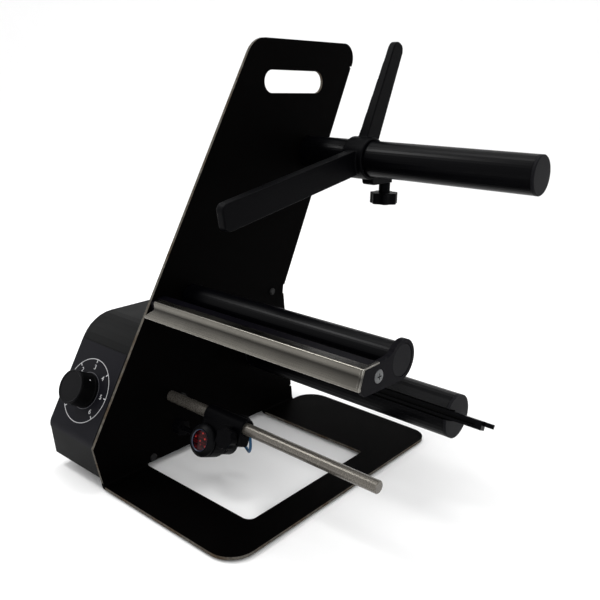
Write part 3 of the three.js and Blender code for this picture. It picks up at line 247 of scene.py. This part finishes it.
EDGE_TINT_REACH = 0.0006  # metres from an edge that the edge tint reaches: worn paint on the cover, a painted highlight on the steel
FLAT_SHARE, EDGE_SHARE = 0.985, 0.9  # how far the rounded and the plain normal agree on flats and edges
PATCH_GRAIN = 260.0
BROAD_GRAIN = 22.0


def edge_mask(tree, where):
    """1 on the outer edges of a shape, broken up a little, and 0 on its flats."""
    soft = shade_node(tree, "ShaderNodeBevel", {"Radius": EDGE_TINT_REACH}, samples=4).outputs["Normal"]
    plain = shade_node(tree, "ShaderNodeNewGeometry").outputs["Normal"]
    compare = shade_node(tree, "ShaderNodeVectorMath", {0: soft, 1: plain}, operation="DOT_PRODUCT")
    mask = remap(tree, compare.outputs["Value"], FLAT_SHARE, EDGE_SHARE, 0.0, 1.0)
    patches = remap(tree, noise(tree, where, PATCH_GRAIN), 0.35, 0.6, 0.2, 1.0)
    return calculate(tree, "MULTIPLY", mask, patches)


def half_and_half(tree, first, second):
    return calculate(tree, "MULTIPLY", calculate(tree, "ADD", first, second), 0.5)


def surface(name, colour, roughness, metallic=0.0, specular=0.4, grain=900.0, stretch=(1, 1, 1),
            bump=0.15, depth=0.0001, spread=0.08, mottle=0.15, wear_and_highlight=None, coat=0.0):
    """A finish whose colour, roughness and height all vary, with tinted edges if given a (colour, share) for
    them: worn paint on the cover, a painted highlight on the steel.
    """
    material = bpy.data.materials.new(name)
    material.use_nodes = True
    tree, shader = tree_and_shader(material)
    shader.inputs["Metallic"].default_value = metallic
    shader.inputs["Specular IOR Level"].default_value = specular
    shader.inputs["Coat Weight"].default_value = coat
    shader.inputs["Coat Roughness"].default_value = 0.15
    own = own_place(tree)
    laid = shade_node(tree, "ShaderNodeMapping", {"Vector": own, "Scale": stretch}).outputs["Vector"]
    fine = noise(tree, laid, grain)
    broad = noise(tree, own, BROAD_GRAIN)
    dark = rgba([c * (1 - mottle) for c in colour])
    light = rgba([min(1.0, c * (1 + mottle)) for c in colour])
    mixed = half_and_half(tree, fine, broad)
    tint = blend_colours(tree, remap(tree, mixed, 0.35, 0.65, 0.0, 1.0), dark, light)
    rough = remap(tree, mixed, 0.3, 0.7, roughness - spread, roughness + spread)
    # Edge tint: worn paint on the cover, a painted highlight on the brushed steel
    if wear_and_highlight:
        edge_tint_colour, edge_tint_share = wear_and_highlight
        share = calculate(tree, "MULTIPLY", edge_mask(tree, own), edge_tint_share)
        tint = blend_colours(tree, share, tint, rgba(edge_tint_colour))
    tree.links.new(tint, shader.inputs["Base Color"])
    tree.links.new(rough, shader.inputs["Roughness"])
    raised = shade_node(tree, "ShaderNodeBump", {"Height": fine, "Strength": bump, "Distance": depth})
    tree.links.new(raised.outputs["Normal"], shader.inputs["Normal"])
    return material


# Metres: where the frame's sheet lies, so that its cut edges can be told from its faces
SHEET = 0.003
SEAT = 0.0003  # how far the CAD's touching pieces stand apart
SHEET_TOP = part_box("rubber_foot_1")[1][2] + SEAT + SHEET
PLATE_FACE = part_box("supply_shaft")[0][0] - SEAT
PLATE_BACK = PLATE_FACE - SHEET
HAIR = 0.0001
BEND = 0.0025  # the part of the bend between plate and base that counts as neither one's cut edge
BARE_STEEL = (0.105, 0.098, 0.085)
RUSTED_STEEL = (0.07, 0.052, 0.036)
BARE_GRAIN = 420.0
RUST_GRAIN = 60.0


def all_of(tree, first, *others):
    for other in others:
        first = calculate(tree, "MULTIPLY", first, other)
    return first


def cut_edge_mask(tree, where):
    """1 on the sheet's cut edges and 0 on its faces."""
    spot = shade_node(tree, "ShaderNodeSeparateXYZ", {"Vector": where.outputs["Object"]}).outputs
    facing = shade_node(tree, "ShaderNodeSeparateXYZ", {"Vector": where.outputs["Normal"]}).outputs
    sideways = shade_node(tree, "ShaderNodeMath", {0: facing["X"]}, operation="ABSOLUTE").outputs[0]
    upward = shade_node(tree, "ShaderNodeMath", {0: facing["Z"]}, operation="ABSOLUTE").outputs[0]
    plate_edge = all_of(
        tree,
        calculate(tree, "LESS_THAN", sideways, 0.5),
        calculate(tree, "GREATER_THAN", spot["X"], PLATE_BACK - HAIR),
        calculate(tree, "LESS_THAN", spot["X"], PLATE_FACE + HAIR),
        calculate(tree, "GREATER_THAN", spot["Z"], SHEET_TOP + BEND))
    base_edge = all_of(
        tree,
        calculate(tree, "LESS_THAN", upward, 0.5),
        calculate(tree, "LESS_THAN", spot["Z"], SHEET_TOP + HAIR),
        calculate(tree, "GREATER_THAN", spot["X"], PLATE_FACE + BEND))
    return calculate(tree, "MAXIMUM", plate_edge, base_edge)


def frame_finish():
    """Black powder coat, with the sheet's cut edges left bare and a little rusty."""
    material = surface(
        "black_powder_coat", (0.0008, 0.0007, 0.0007), 0.5, specular=0.008, grain=1500.0, bump=0.25,
        spread=0.06, mottle=0.2)
    tree, shader = tree_and_shader(material)
    where = shade_node(tree, "ShaderNodeTexCoord")
    own = where.outputs["Object"]
    patchy = remap(tree, noise(tree, own, BARE_GRAIN), 0.3, 0.7, 0.45, 1.0)
    share = calculate(tree, "MULTIPLY", cut_edge_mask(tree, where), patchy)
    rust = remap(tree, noise(tree, own, RUST_GRAIN), 0.4, 0.65, 0.0, 1.0)
    metal = blend_colours(tree, rust, rgba(BARE_STEEL), rgba(RUSTED_STEEL))
    coat = shader.inputs["Base Color"].links[0].from_socket
    tree.links.new(blend_colours(tree, share, coat, metal), shader.inputs["Base Color"])
    return material


# Heights in metres where the peel plate's fold starts, is deepest and ends; across the fold the steel's
# colour holds painted shade, darkest at its deepest
FOLD_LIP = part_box("peel_plate")[0][2] + 0.0025
FOLD_DEEP = FOLD_LIP + 0.0072
FOLD_END = FOLD_DEEP + 0.0032
FOLD_SHADE_SHARE = 0.85
TOP_SHADE_SHARE = 0.6
# Colour of the painted highlight along the steel's edges
PAINTED_EDGE_HIGHLIGHT = (0.66, 0.64, 0.6)
# Colour of the painted shade on the steel's level top and in its fold
PAINTED_SHADE = (0.012, 0.011, 0.01)


def brushed_steel():
    """Steel brushed along X, with a painted highlight on its edges and painted shade on its level top and in
    its fold.
    """
    # The bright edge tint given here is a painted highlight along the steel's edges
    material = surface(
        "brushed_stainless", (0.125, 0.118, 0.104), 0.27, metallic=1.0, grain=3800.0,
        stretch=(0.012, 1, 1), bump=0.35, depth=0.00003, spread=0.09, mottle=0.14, wear_and_highlight=(PAINTED_EDGE_HIGHLIGHT, 0.85))
    tree, shader = tree_and_shader(material)
    shader.inputs["Anisotropic"].default_value = 0.5
    where = shade_node(tree, "ShaderNodeTexCoord")
    high = part_of(tree, where.outputs["Object"], "Z")
    upward = part_of(tree, where.outputs["Normal"], "Z")
    # Painted shade: the colour darkens towards the deepest line of the fold
    rising = remap(tree, high, FOLD_LIP, FOLD_DEEP, 0.0, FOLD_SHADE_SHARE)
    falling = remap(tree, high, FOLD_DEEP, FOLD_END, FOLD_SHADE_SHARE, 0.0)
    fold = calculate(tree, "MINIMUM", rising, falling)
    # Painted shade: the colour of faces that look upward is darkened
    level = remap(tree, upward, 0.8, 0.95, 0.0, TOP_SHADE_SHARE)
    steel = shader.inputs["Base Color"].links[0].from_socket
    fold_shaded = blend_colours(tree, fold, steel, rgba(PAINTED_SHADE))
    toned = blend_colours(tree, level, fold_shaded, rgba(PAINTED_SHADE))
    tree.links.new(toned, shader.inputs["Base Color"])
    return material


LENS_RED = (0.12, 0.003, 0.006)
LENS_WALL = (0.004, 0.0008, 0.001)
LENS_CELL = (0.05, 0.0015, 0.003)
LENS_PAINTED_GLOW = (0.5, 0.035, 0.03)
CELL_GRAIN = 520.0
POINT_GRAIN = 190.0


def lens_finish():
    """Dark red window with a six-sided cell pattern and a few points of painted glow behind it."""
    material = surface("red_window", LENS_RED, 0.16, specular=0.1, coat=0.05, mottle=0.25)
    tree, shader = tree_and_shader(material)
    own = own_place(tree)
    edge = {"Vector": own, "Scale": CELL_GRAIN, "Randomness": 0.15}
    cells = shade_node(tree, "ShaderNodeTexVoronoi", edge, feature="DISTANCE_TO_EDGE").outputs["Distance"]
    walls = remap(tree, cells, 0.04, 0.3, 0.0, 1.0)
    spots = {"Vector": own, "Scale": POINT_GRAIN, "Randomness": 0.9}
    glow = shade_node(tree, "ShaderNodeTexVoronoi", spots).outputs["Distance"]
    # Painted glow: bright points put into the window's colour
    points = remap(tree, glow, 0.06, 0.24, 0.75, 0.0)
    deep = blend_colours(tree, walls, rgba(LENS_WALL), rgba(LENS_CELL))
    tint = blend_colours(tree, points, deep, rgba(LENS_PAINTED_GLOW))
    tree.links.new(tint, shader.inputs["Base Color"])
    return material


KNOB_BLACK = (0.0008, 0.0008, 0.001)
KNOB_STREAK = (0.005, 0.005, 0.006)
STREAK_GRAIN = 160.0
KNOB_FRONT_FROM = 0.0192  # metres from the dial's face


def knob_front_finish():
    """Black plastic knob whose front is finely spun round its middle."""
    material = surface("knob_plastic", KNOB_BLACK, 0.4, specular=0.04, bump=0.1, spread=0.05)
    tree, shader = tree_and_shader(material)
    own = own_place(tree)
    angle = shade_node(tree, "ShaderNodeTexGradient", {"Vector": own}, gradient_type="RADIAL").outputs["Fac"]
    spun = {"W": angle, "Scale": STREAK_GRAIN, "Detail": 2.0}
    streaks = shade_node(tree, "ShaderNodeTexNoise", spun, noise_dimensions="1D").outputs["Fac"]
    on_front = calculate(tree, "GREATER_THAN", part_of(tree, own, "Z"), KNOB_FRONT_FROM)
    light = calculate(tree, "MULTIPLY", remap(tree, streaks, 0.35, 0.65, 0.0, 1.0), on_front)
    tint = blend_colours(tree, light, rgba(KNOB_BLACK), rgba(KNOB_STREAK))
    tree.links.new(tint, shader.inputs["Base Color"])
    return material


LOOKS = {
    "frame": frame_finish(),
    "cover": surface(
        "grey_cover_paint", (0.0033, 0.0035, 0.0036), 0.5, specular=0.04, grain=1400.0, bump=0.3, mottle=0.12,
        wear_and_highlight=((0.014, 0.014, 0.013), 0.3)),
    "film": surface(
        "dial_film", (0.0048, 0.0048, 0.0068), 0.55, specular=0.05, grain=2400.0, bump=0.12, mottle=0.06),
    "shaft": surface(
        "black_shaft_coat", (0.0006, 0.0006, 0.001), 0.3, specular=0.05, grain=1500.0, bump=0.08,
        spread=0.02, mottle=0.05),
    "plastic": surface(
        "black_hand_plastic", (0.0007, 0.0007, 0.0011), 0.42, specular=0.03, grain=1900.0, bump=0.2,
        mottle=0.12),
    "bracket": surface(
        "bracket_coat", (0.0013, 0.0011, 0.0022), 0.45, specular=0.025, grain=1600.0, bump=0.25, mottle=0.12),
    "end": surface(
        "grey_end_plastic", (0.0045, 0.0045, 0.0055), 0.55, specular=0.05, grain=1800.0, bump=0.2,
        mottle=0.08),
    "barrel": surface(
        "barrel_plastic", (0.0018, 0.0019, 0.0024), 0.42, specular=0.06, grain=1500.0, bump=0.15),
    "stainless": brushed_steel(),
    "rod": surface(
        "drawn_steel_rod", (0.115, 0.106, 0.092), 0.27, metallic=0.6, grain=900.0, bump=0.1, spread=0.05,
        mottle=0.1),
    "zinc": surface(
        "zinc_plate", (0.095, 0.098, 0.1), 0.32, metallic=1.0, grain=500.0, bump=0.12, mottle=0.08),
    "dull_screw": surface(
        "dull_zinc", (0.012, 0.012, 0.012), 0.5, metallic=0.3, specular=0.1, grain=500.0, bump=0.12,
        mottle=0.12),
    "aluminium": surface(
        "plain_aluminium", (0.5, 0.51, 0.52), 0.38, metallic=1.0, grain=700.0, mottle=0.06),
    "brass": surface("gear_brass", (0.5, 0.38, 0.16), 0.35, metallic=1.0, grain=700.0, mottle=0.1),
    "board": surface("board_green", (0.02, 0.11, 0.045), 0.5, grain=500.0, mottle=0.3),
    "rubber": surface(
        "foot_rubber", (0.008, 0.008, 0.008), 0.8, specular=0.15, grain=1500.0, bump=0.35),
    "blue": surface("blue_jacket", (0.008, 0.07, 0.16), 0.42, specular=0.25, grain=1600.0, bump=0.15),
    "jacket": surface("black_jacket", (0.002, 0.002, 0.0024), 0.5, specular=0.06, grain=1600.0, bump=0.2),
    "print": surface("white_print", (0.4, 0.4, 0.41), 0.5, grain=2600.0, bump=0.05, mottle=0.05),
    "thin_ring": surface("pale_ring", (0.09, 0.09, 0.1), 0.4, grain=2600.0, bump=0.05, mottle=0.06),
    "lens_ring": surface("pale_blue_ring", (0.022, 0.03, 0.055), 0.3, grain=2600.0, bump=0.05, mottle=0.06),
    "lens": lens_finish(),
    "knob": knob_front_finish(),
    "floor": surface(
        "studio_floor", (0.9, 0.9, 0.9), 0.8, specular=0.1, grain=40.0, bump=0.0, mottle=0.004),
}

# ---------- cables ----------

# Millimetres of the drawing
LEAD_RADIUS = 1.4
CABLE_RADIUS = 1.7
LEAD_ROUTE = [
    (67, 107.8, 32.4), (67.5, 111.3, 30.9), (70, 113.8, 29.2), (75, 114, 26.9), (80, 112, 26),
    (84.5, 109, 27), (88.5, 106, 30), (91.6, 104, 35), (93, 102.8, 41.5), (93.2, 102.1, 47.5),
    (93, 102, 52.6),
]
CABLE_ROUTE = [
    (93, 102, 62.4), (92.6, 101.8, 65), (90.4, 101.2, 67.2), (86.4, 100.3, 67.8), (81, 99.3, 66.8),
    (72, 98.4, 64), (60, 98, 61), (48, 97.8, 58.8), (36, 97.5, 57.6), (24, 97.2, 57.7), (14, 97, 58.8),
    (5, 97, 59.8), (-3, 97, 60), (-11.6, 97, 60),
]


def add_cables():
    lead = route_points([place(*point) for point in LEAD_ROUTE])
    cable = route_points([place(*point) for point in CABLE_ROUTE])
    blue = add_piece("sensor_lead_jacket", tube_builder(lead, LEAD_RADIUS * MM), LOOKS["blue"], None)
    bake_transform(blue)
    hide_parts("sensor_lead")
    black = add_piece("sensor_cable_jacket", tube_builder(cable, CABLE_RADIUS * MM), LOOKS["jacket"], None)
    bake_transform(black)
    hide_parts("sensor_cable")


add_cables()

# ---------- CAD nodes that keep their shape ----------

EDGE_ROUNDING = 0.0003
ROUNDED_FROM = math.radians(35)


def finish_node(name, look, rounded):
    """Gives a CAD node its finish, clean shading and, where rounded, a fine rounding along its edges."""
    node = NODES[name]
    node.data.materials.clear()
    node.data.materials.append(LOOKS[look])
    node.data.shade_smooth()
    node.data.set_sharp_from_angle(angle=SMOOTH_ANGLE)
    if rounded:
        bevel = node.modifiers.new("edges", "BEVEL")
        bevel.width = EDGE_ROUNDING
        bevel.segments = 2
        bevel.limit_method = "ANGLE"
        bevel.angle_limit = ROUNDED_FROM
        bevel.use_clamp_overlap = True
    even = node.modifiers.new("shading", "WEIGHTED_NORMAL")
    even.keep_sharp = True


def mould_node(name, look, voxel, passes):
    """Gives a moulded CAD node its finish, with all its edges and inner corners softly rounded."""
    node = NODES[name]
    node.data.materials.clear()
    node.data.materials.append(LOOKS[look])
    remesh = node.modifiers.new("skin", "REMESH")
    remesh.mode = "VOXEL"
    remesh.voxel_size = voxel
    remesh.use_smooth_shade = True
    relax = node.modifiers.new("rounding", "SMOOTH")
    relax.factor = 0.5
    relax.iterations = passes


PLAIN_NODES = {
    "frame": ["frame_plate"],
    "bracket": ["end_bracket", "peel_bar"],
    "dull_screw": ["panel_screw_rear", "panel_screw_front"],
    "cover": ["housing_cover", "rear_panel"],
    "film": ["dial_overlay"],
    "shaft": ["supply_shaft", "idler_roller", "rewind_shaft", "liner_clip"],
    "plastic": [
        "clamp_liner", "lead_coupler", "power_switch_body", "power_switch_rocker", "power_jack",
        "idler_bush_inner", "idler_bush_outer"],
    "end": ["supply_shaft_cap", "rewind_end_disc", "bracket_cap_disc"],
    "stainless": ["peel_plate"],
    "rod": ["sensor_rod"],
    "zinc": [
        "supply_shaft_bolt", "peel_bar_screw", "bracket_screw", "axle_screw_inner", "axle_screw_outer",
        "idler_axle", "rewind_spindle", "spindle_bearing_outer", "spindle_bearing_inner",
        "sensor_rod_screw", "motor_shaft", "gear_motor", "motor_bracket", "potentiometer",
        "potentiometer_nut", "potentiometer_shaft"],
    "aluminium": ["bearing_hub"],
    "brass": ["drive_gear", "motor_pinion"],
    "board": ["controller_board"],
    "rubber": ["rubber_foot_1", "rubber_foot_2", "rubber_foot_3", "rubber_foot_4", "cable_grommet"],
}
UNROUNDED = {"dial_overlay", "drive_gear", "motor_pinion", "bracket_cap_disc", "potentiometer_nut"}
# The size of the skin's cells, in metres, and how many times it is smoothed
MOULDED_NODES = {
    "core_guide": (0.0007, 5),
    "core_guide_knob": (0.00035, 4),
    "sensor_clamp": (0.0004, 5),
    "rod_clamp_knob": (0.0003, 4),
    "barrel_clamp_knob": (0.0003, 4),
}
for look, names in PLAIN_NODES.items():
    for name in names:
        finish_node(name, look, rounded=name not in UNROUNDED)
for name, (voxel, passes) in MOULDED_NODES.items():
    mould_node(name, "plastic", voxel, passes)

# ---------- sensor ----------

# Millimetres of the drawing, and millimetres along the barrel from the rod's place
SENSOR = {
    "x": 67, "drop": 24, "tilt": math.radians(22), "radius": 13.2, "front": -9, "rear": 28, "bezel": 15.5,
}
ROD_AXIS = (84.2, 68.1)


def barrel_frame():
    """Z runs forward along the barrel's axis, from the rod's place."""
    clamp = Matrix.Translation(place(0, *ROD_AXIS)) @ Matrix.Rotation(-SENSOR["tilt"], 4, "X")
    below = Matrix.Translation(Vector((SENSOR["x"], 0, -SENSOR["drop"])) * MM)
    return clamp @ below @ Matrix.Rotation(math.pi / 2, 4, "X")


THREAD = {"pitch": 1.2, "depth": 0.35, "turns": 20, "start": 1.4}


def barrel_profile(front, rear, wide):
    """The barrel from its front to its tail, with a fine thread along its front part."""
    threads = []
    for k in range(THREAD["turns"]):
        height = front - THREAD["start"] - k * THREAD["pitch"]
        threads += [(wide, height), (wide - THREAD["depth"], height - THREAD["pitch"] / 2)]
    nose = [(0, front - 0.3), (wide - 0.6, front - 0.3)]
    tail = [
        (wide, rear + 2.2), (wide - 1.6, rear + 0.3), (wide - 2.4, rear), (5.2, rear), (4.5, rear - 0.7),
        (4.3, rear - 5), (3.4, rear - 6.4), (2.2, rear - 7), (0, rear - 7),
    ]
    return nose + threads + tail


def add_sensor():
    where = barrel_frame()
    front = -SENSOR["front"]
    bezel = SENSOR["bezel"]
    lens = [
        (0, front + 5.0), (4.5, front + 4.85), (8.3, front + 4.4), (9.35, front + 4.1), (9.35, front + 0.4),
        (0, front + 0.4),
    ]
    rim = [
        (9.75, front + 1), (9.75, front + 4.9), (10.3, front + 5.7), (11.4, front + 5.9),
        (12.8, front + 4.9), (14.6, front + 3.3), (15.3, front + 2.5), (bezel, front + 1.8),
        (bezel, front + 0.4), (15.1, front), (10.6, front), (9.75, front + 1),
    ]
    ring = [
        (9.4, front + 4.7), (9.72, front + 5.0), (9.95, front + 5.3), (10.05, front + 5.6),
        (9.8, front + 5.5), (9.5, front + 5.2), (9.4, front + 4.7),
    ]
    barrel = barrel_profile(front, -SENSOR["rear"], SENSOR["radius"])
    replaced = (
        ("sensor_barrel_body", barrel, "barrel", "sensor_barrel", "grey_end_plastic"),
        ("sensor_bezel_ring", rim, "barrel", "sensor_bezel", "grey_end_plastic"),
        ("sensor_lens_window", lens, "lens", "sensor_lens", "red_window"),
    )
    for name, profile, look, node, slot in replaced:
        piece = add_piece(name, turned_builder(profile, where), LOOKS[look], "sensor")
        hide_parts(node)
    pale = add_piece("sensor_lens_edge", turned_builder(ring, where), LOOKS["lens_ring"], "sensor")


add_sensor()

# ---------- dial ----------

# Millimetres of the drawing; heights are above the dial's face
DIAL = {"x": -41, "y": 15.29, "z": 83.66, "tilt": math.radians(60.19), "film": 0.82}
DIAL_FRAME = (
    Matrix.Translation(place(DIAL["x"], DIAL["y"], DIAL["z"])) @ Matrix.Rotation(DIAL["tilt"], 4, "X"))
RING = {"outer": 31.5, "inner": 30.85}
TICK = {"inner": 28.0, "half": 0.5}
KNOB_LINE = {"outer": 18.0, "inner": 17.6}
NUMBER_RADIUS = 23.4
NUMBER_HEIGHT = 6.6
FIRST_MARK, MARK_STEP, LAST_MARK = 225, 45, 6  # degrees for 0, degrees between marks, highest mark
PRINT_THICKNESS = 0.02


def on_dial(radius, angle, height):
    return DIAL_FRAME @ (Vector((radius * math.cos(angle), radius * math.sin(angle), height)) * MM)


def flat_ring_builder(inner, outer, low, high, segments=120):
    def build(shape):
        loops = []
        for radius, height in ((inner, low), (outer, low), (outer, high), (inner, high)):
            loops.append([shape.verts.new(on_dial(radius, turn, height)) for turn in full_turn(segments)])
        for a in range(4):
            first, second = loops[a], loops[(a + 1) % 4]
            for k in range(segments):
                shape.faces.new((first[k], first[(k + 1) % segments], second[(k + 1) % segments], second[k]))
    return build


def tick_builder(angles, inner, outer, half, low, high):
    def build(shape):
        for angle in angles:
            across = Vector((-math.sin(angle), math.cos(angle), 0)) * half
            out = Vector((math.cos(angle), math.sin(angle), 0))
            corners = [
                out * inner - across, out * outer - across, out * outer + across, out * inner + across]
            rows = []
            for height in (low, high):
                lift = Vector((0, 0, height))
                rows.append([shape.verts.new(DIAL_FRAME @ ((corner + lift) * MM)) for corner in corners])
            shape.faces.new(rows[0][::-1])
            shape.faces.new(rows[1])
            for k in range(4):
                shape.faces.new((rows[0][k], rows[0][(k + 1) % 4], rows[1][(k + 1) % 4], rows[1][k]))
    return build


def add_number(value, angle):
    text = bpy.data.curves.new(f"dial_text_{value}", "FONT")
    text.body = str(value)
    text.align_x = "CENTER"
    text.align_y = "CENTER"
    text.size = NUMBER_HEIGHT * MM
    text.offset = 0.00004
    text.extrude = PRINT_THICKNESS * MM / 2
    text.materials.append(LOOKS["print"])
    number = bpy.data.objects.new(f"dial_number_{value}", text)
    spot = Vector((NUMBER_RADIUS * math.cos(angle), NUMBER_RADIUS * math.sin(angle), DIAL["film"]))
    number.matrix_world = DIAL_FRAME @ Matrix.Translation(spot * MM)
    SCENE.collection.objects.link(number)
    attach(number, "frame")


def add_dial():
    low, high = DIAL["film"], DIAL["film"] + PRINT_THICKNESS
    marks = {value: math.radians(FIRST_MARK - MARK_STEP * value) for value in range(LAST_MARK + 1)}
    ring = flat_ring_builder(RING["inner"], RING["outer"], low, high)
    ticks = tick_builder(marks.values(), TICK["inner"], RING["inner"] + 0.1, TICK["half"], low, high)
    knob_line = flat_ring_builder(KNOB_LINE["inner"], KNOB_LINE["outer"], low, high)
    prints = (
        ("dial_ring_print", ring, "print"),
        ("dial_ticks_print", ticks, "print"),
        ("dial_knob_line", knob_line, "thin_ring"),
    )
    for name, build, look in prints:
        piece = add_piece(name, build, LOOKS[look], "frame", smooth=False)
    for value, angle in marks.items():
        add_number(value, angle)


KNOB = {
    "radius": 16.5, "height": 20, "skirt": 17, "pointer": math.radians(45), "dot": 0.75, "dot_height": 10,
}


def add_speed_knob():
    wide, tall, skirt = KNOB["radius"], KNOB["height"], KNOB["skirt"]
    profile = [
        (0, tall - 0.5), (14.4, tall - 0.5), (14.8, tall - 0.1), (15.2, tall), (15.9, tall),
        (16.35, tall - 0.2), (wide, tall - 0.7), (wide, tall - 1.6), (wide - 0.15, tall - 1.8),
        (wide - 0.15, tall - 2.1), (wide, tall - 2.3), (wide, 4.4), (wide + 0.15, 3.9),
        (skirt - 0.1, 3.5), (skirt, 3.1), (skirt, 1.7), (skirt - 0.3, 1.4), (9, 1.4), (9, 7), (3.2, 7),
        (3.2, 17), (0, 17),
    ]
    shape = turned_builder(profile, Matrix.Identity(4), segments=120)
    knob = add_piece("speed_knob_body", shape, LOOKS["knob"], None)
    knob.matrix_world = DIAL_FRAME
    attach(knob, "dial_knob")
    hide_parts("speed_knob")
    lift = Matrix.Translation(Vector((0, 0, KNOB["dot_height"])) * MM)
    turn = Matrix.Rotation(KNOB["pointer"], 4, "Z")
    side = DIAL_FRAME @ turn @ lift @ Matrix.Rotation(math.pi / 2, 4, "Y")
    spot = KNOB["dot"]
    dot = [
        (0, wide - 0.3), (spot, wide - 0.3), (spot, wide + 0.02), (spot - 0.2, wide + 0.12),
        (0, wide + 0.14),
    ]
    mark = add_piece("speed_knob_dot", turned_builder(dot, side, segments=32), LOOKS["print"], "dial_knob")


add_dial()
add_speed_knob()

# ---------- floor and light ----------

# Metres from the middle of the object: a level floor that sweeps up into a wall behind it
FLOOR = {"half_width": 3.0, "near": -2.0, "bend_start": 1.6, "bend_radius": 0.9, "top": 2.6, "bend_steps": 16}
LIT_POINT = (0.0, 0.0, 0.18)
WORLD_STRENGTH = 1.06
LIGHTS = {
    "overhead": {"spot": (-0.1, 0.25, 1.5), "size": (1.2, 0.35), "power": 7},
    "key": {"spot": (-0.83, -0.45, 1.4), "size": (0.35, 0.35), "power": 8},
    "left": {"spot": (-1.5, -0.35, 0.55), "size": (0.6, 0.6), "power": 3.5},
    "right": {"spot": (1.5, -0.5, 0.8), "size": (0.4, 0.8), "power": 2.5},
}


def add_floor():
    away = Vector((-math.sin(CAMERA_TURN), math.cos(CAMERA_TURN), 0))
    across = Vector((math.cos(CAMERA_TURN), math.sin(CAMERA_TURN), 0))
    start, radius, steps = FLOOR["bend_start"], FLOOR["bend_radius"], FLOOR["bend_steps"]
    outline = [(FLOOR["near"], 0.0), (start, 0.0)]
    for k in range(1, steps + 1):
        angle = math.pi / 2 * k / steps
        outline.append((start + radius * math.sin(angle), radius * (1 - math.cos(angle))))
    outline.append((start + radius, FLOOR["top"]))

    def build(shape):
        rows = []
        for distance, height in outline:
            middle = away * distance + Vector((0, 0, height))
            ends = [middle + across * side for side in (-FLOOR["half_width"], FLOOR["half_width"])]
            rows.append([shape.verts.new(end) for end in ends])
        for first, second in zip(rows, rows[1:]):
            shape.faces.new((first[0], first[1], second[1], second[0]))

    add_piece("studio_floor", build, LOOKS["floor"], None)


def add_light(name, spot, size, power):
    data = bpy.data.lights.new(name, "AREA")
    data.shape = "RECTANGLE"
    data.size, data.size_y = size
    data.energy = power
    light = bpy.data.objects.new(name, data)
    light.location = spot
    light.rotation_euler = (Vector(LIT_POINT) - Vector(spot)).to_track_quat("-Z", "Y").to_euler()
    SCENE.collection.objects.link(light)


def add_studio():
    add_floor()
    world = bpy.data.worlds.new("studio")
    world.use_nodes = True
    background = world.node_tree.nodes["Background"]
    background.inputs["Color"].default_value = (1.0, 1.0, 1.0, 1.0)
    background.inputs["Strength"].default_value = WORLD_STRENGTH
    SCENE.world = world
    SCENE.view_settings.view_transform = "Standard"
    for name, light in LIGHTS.items():
        add_light(name, light["spot"], light["size"], light["power"])


add_studio()
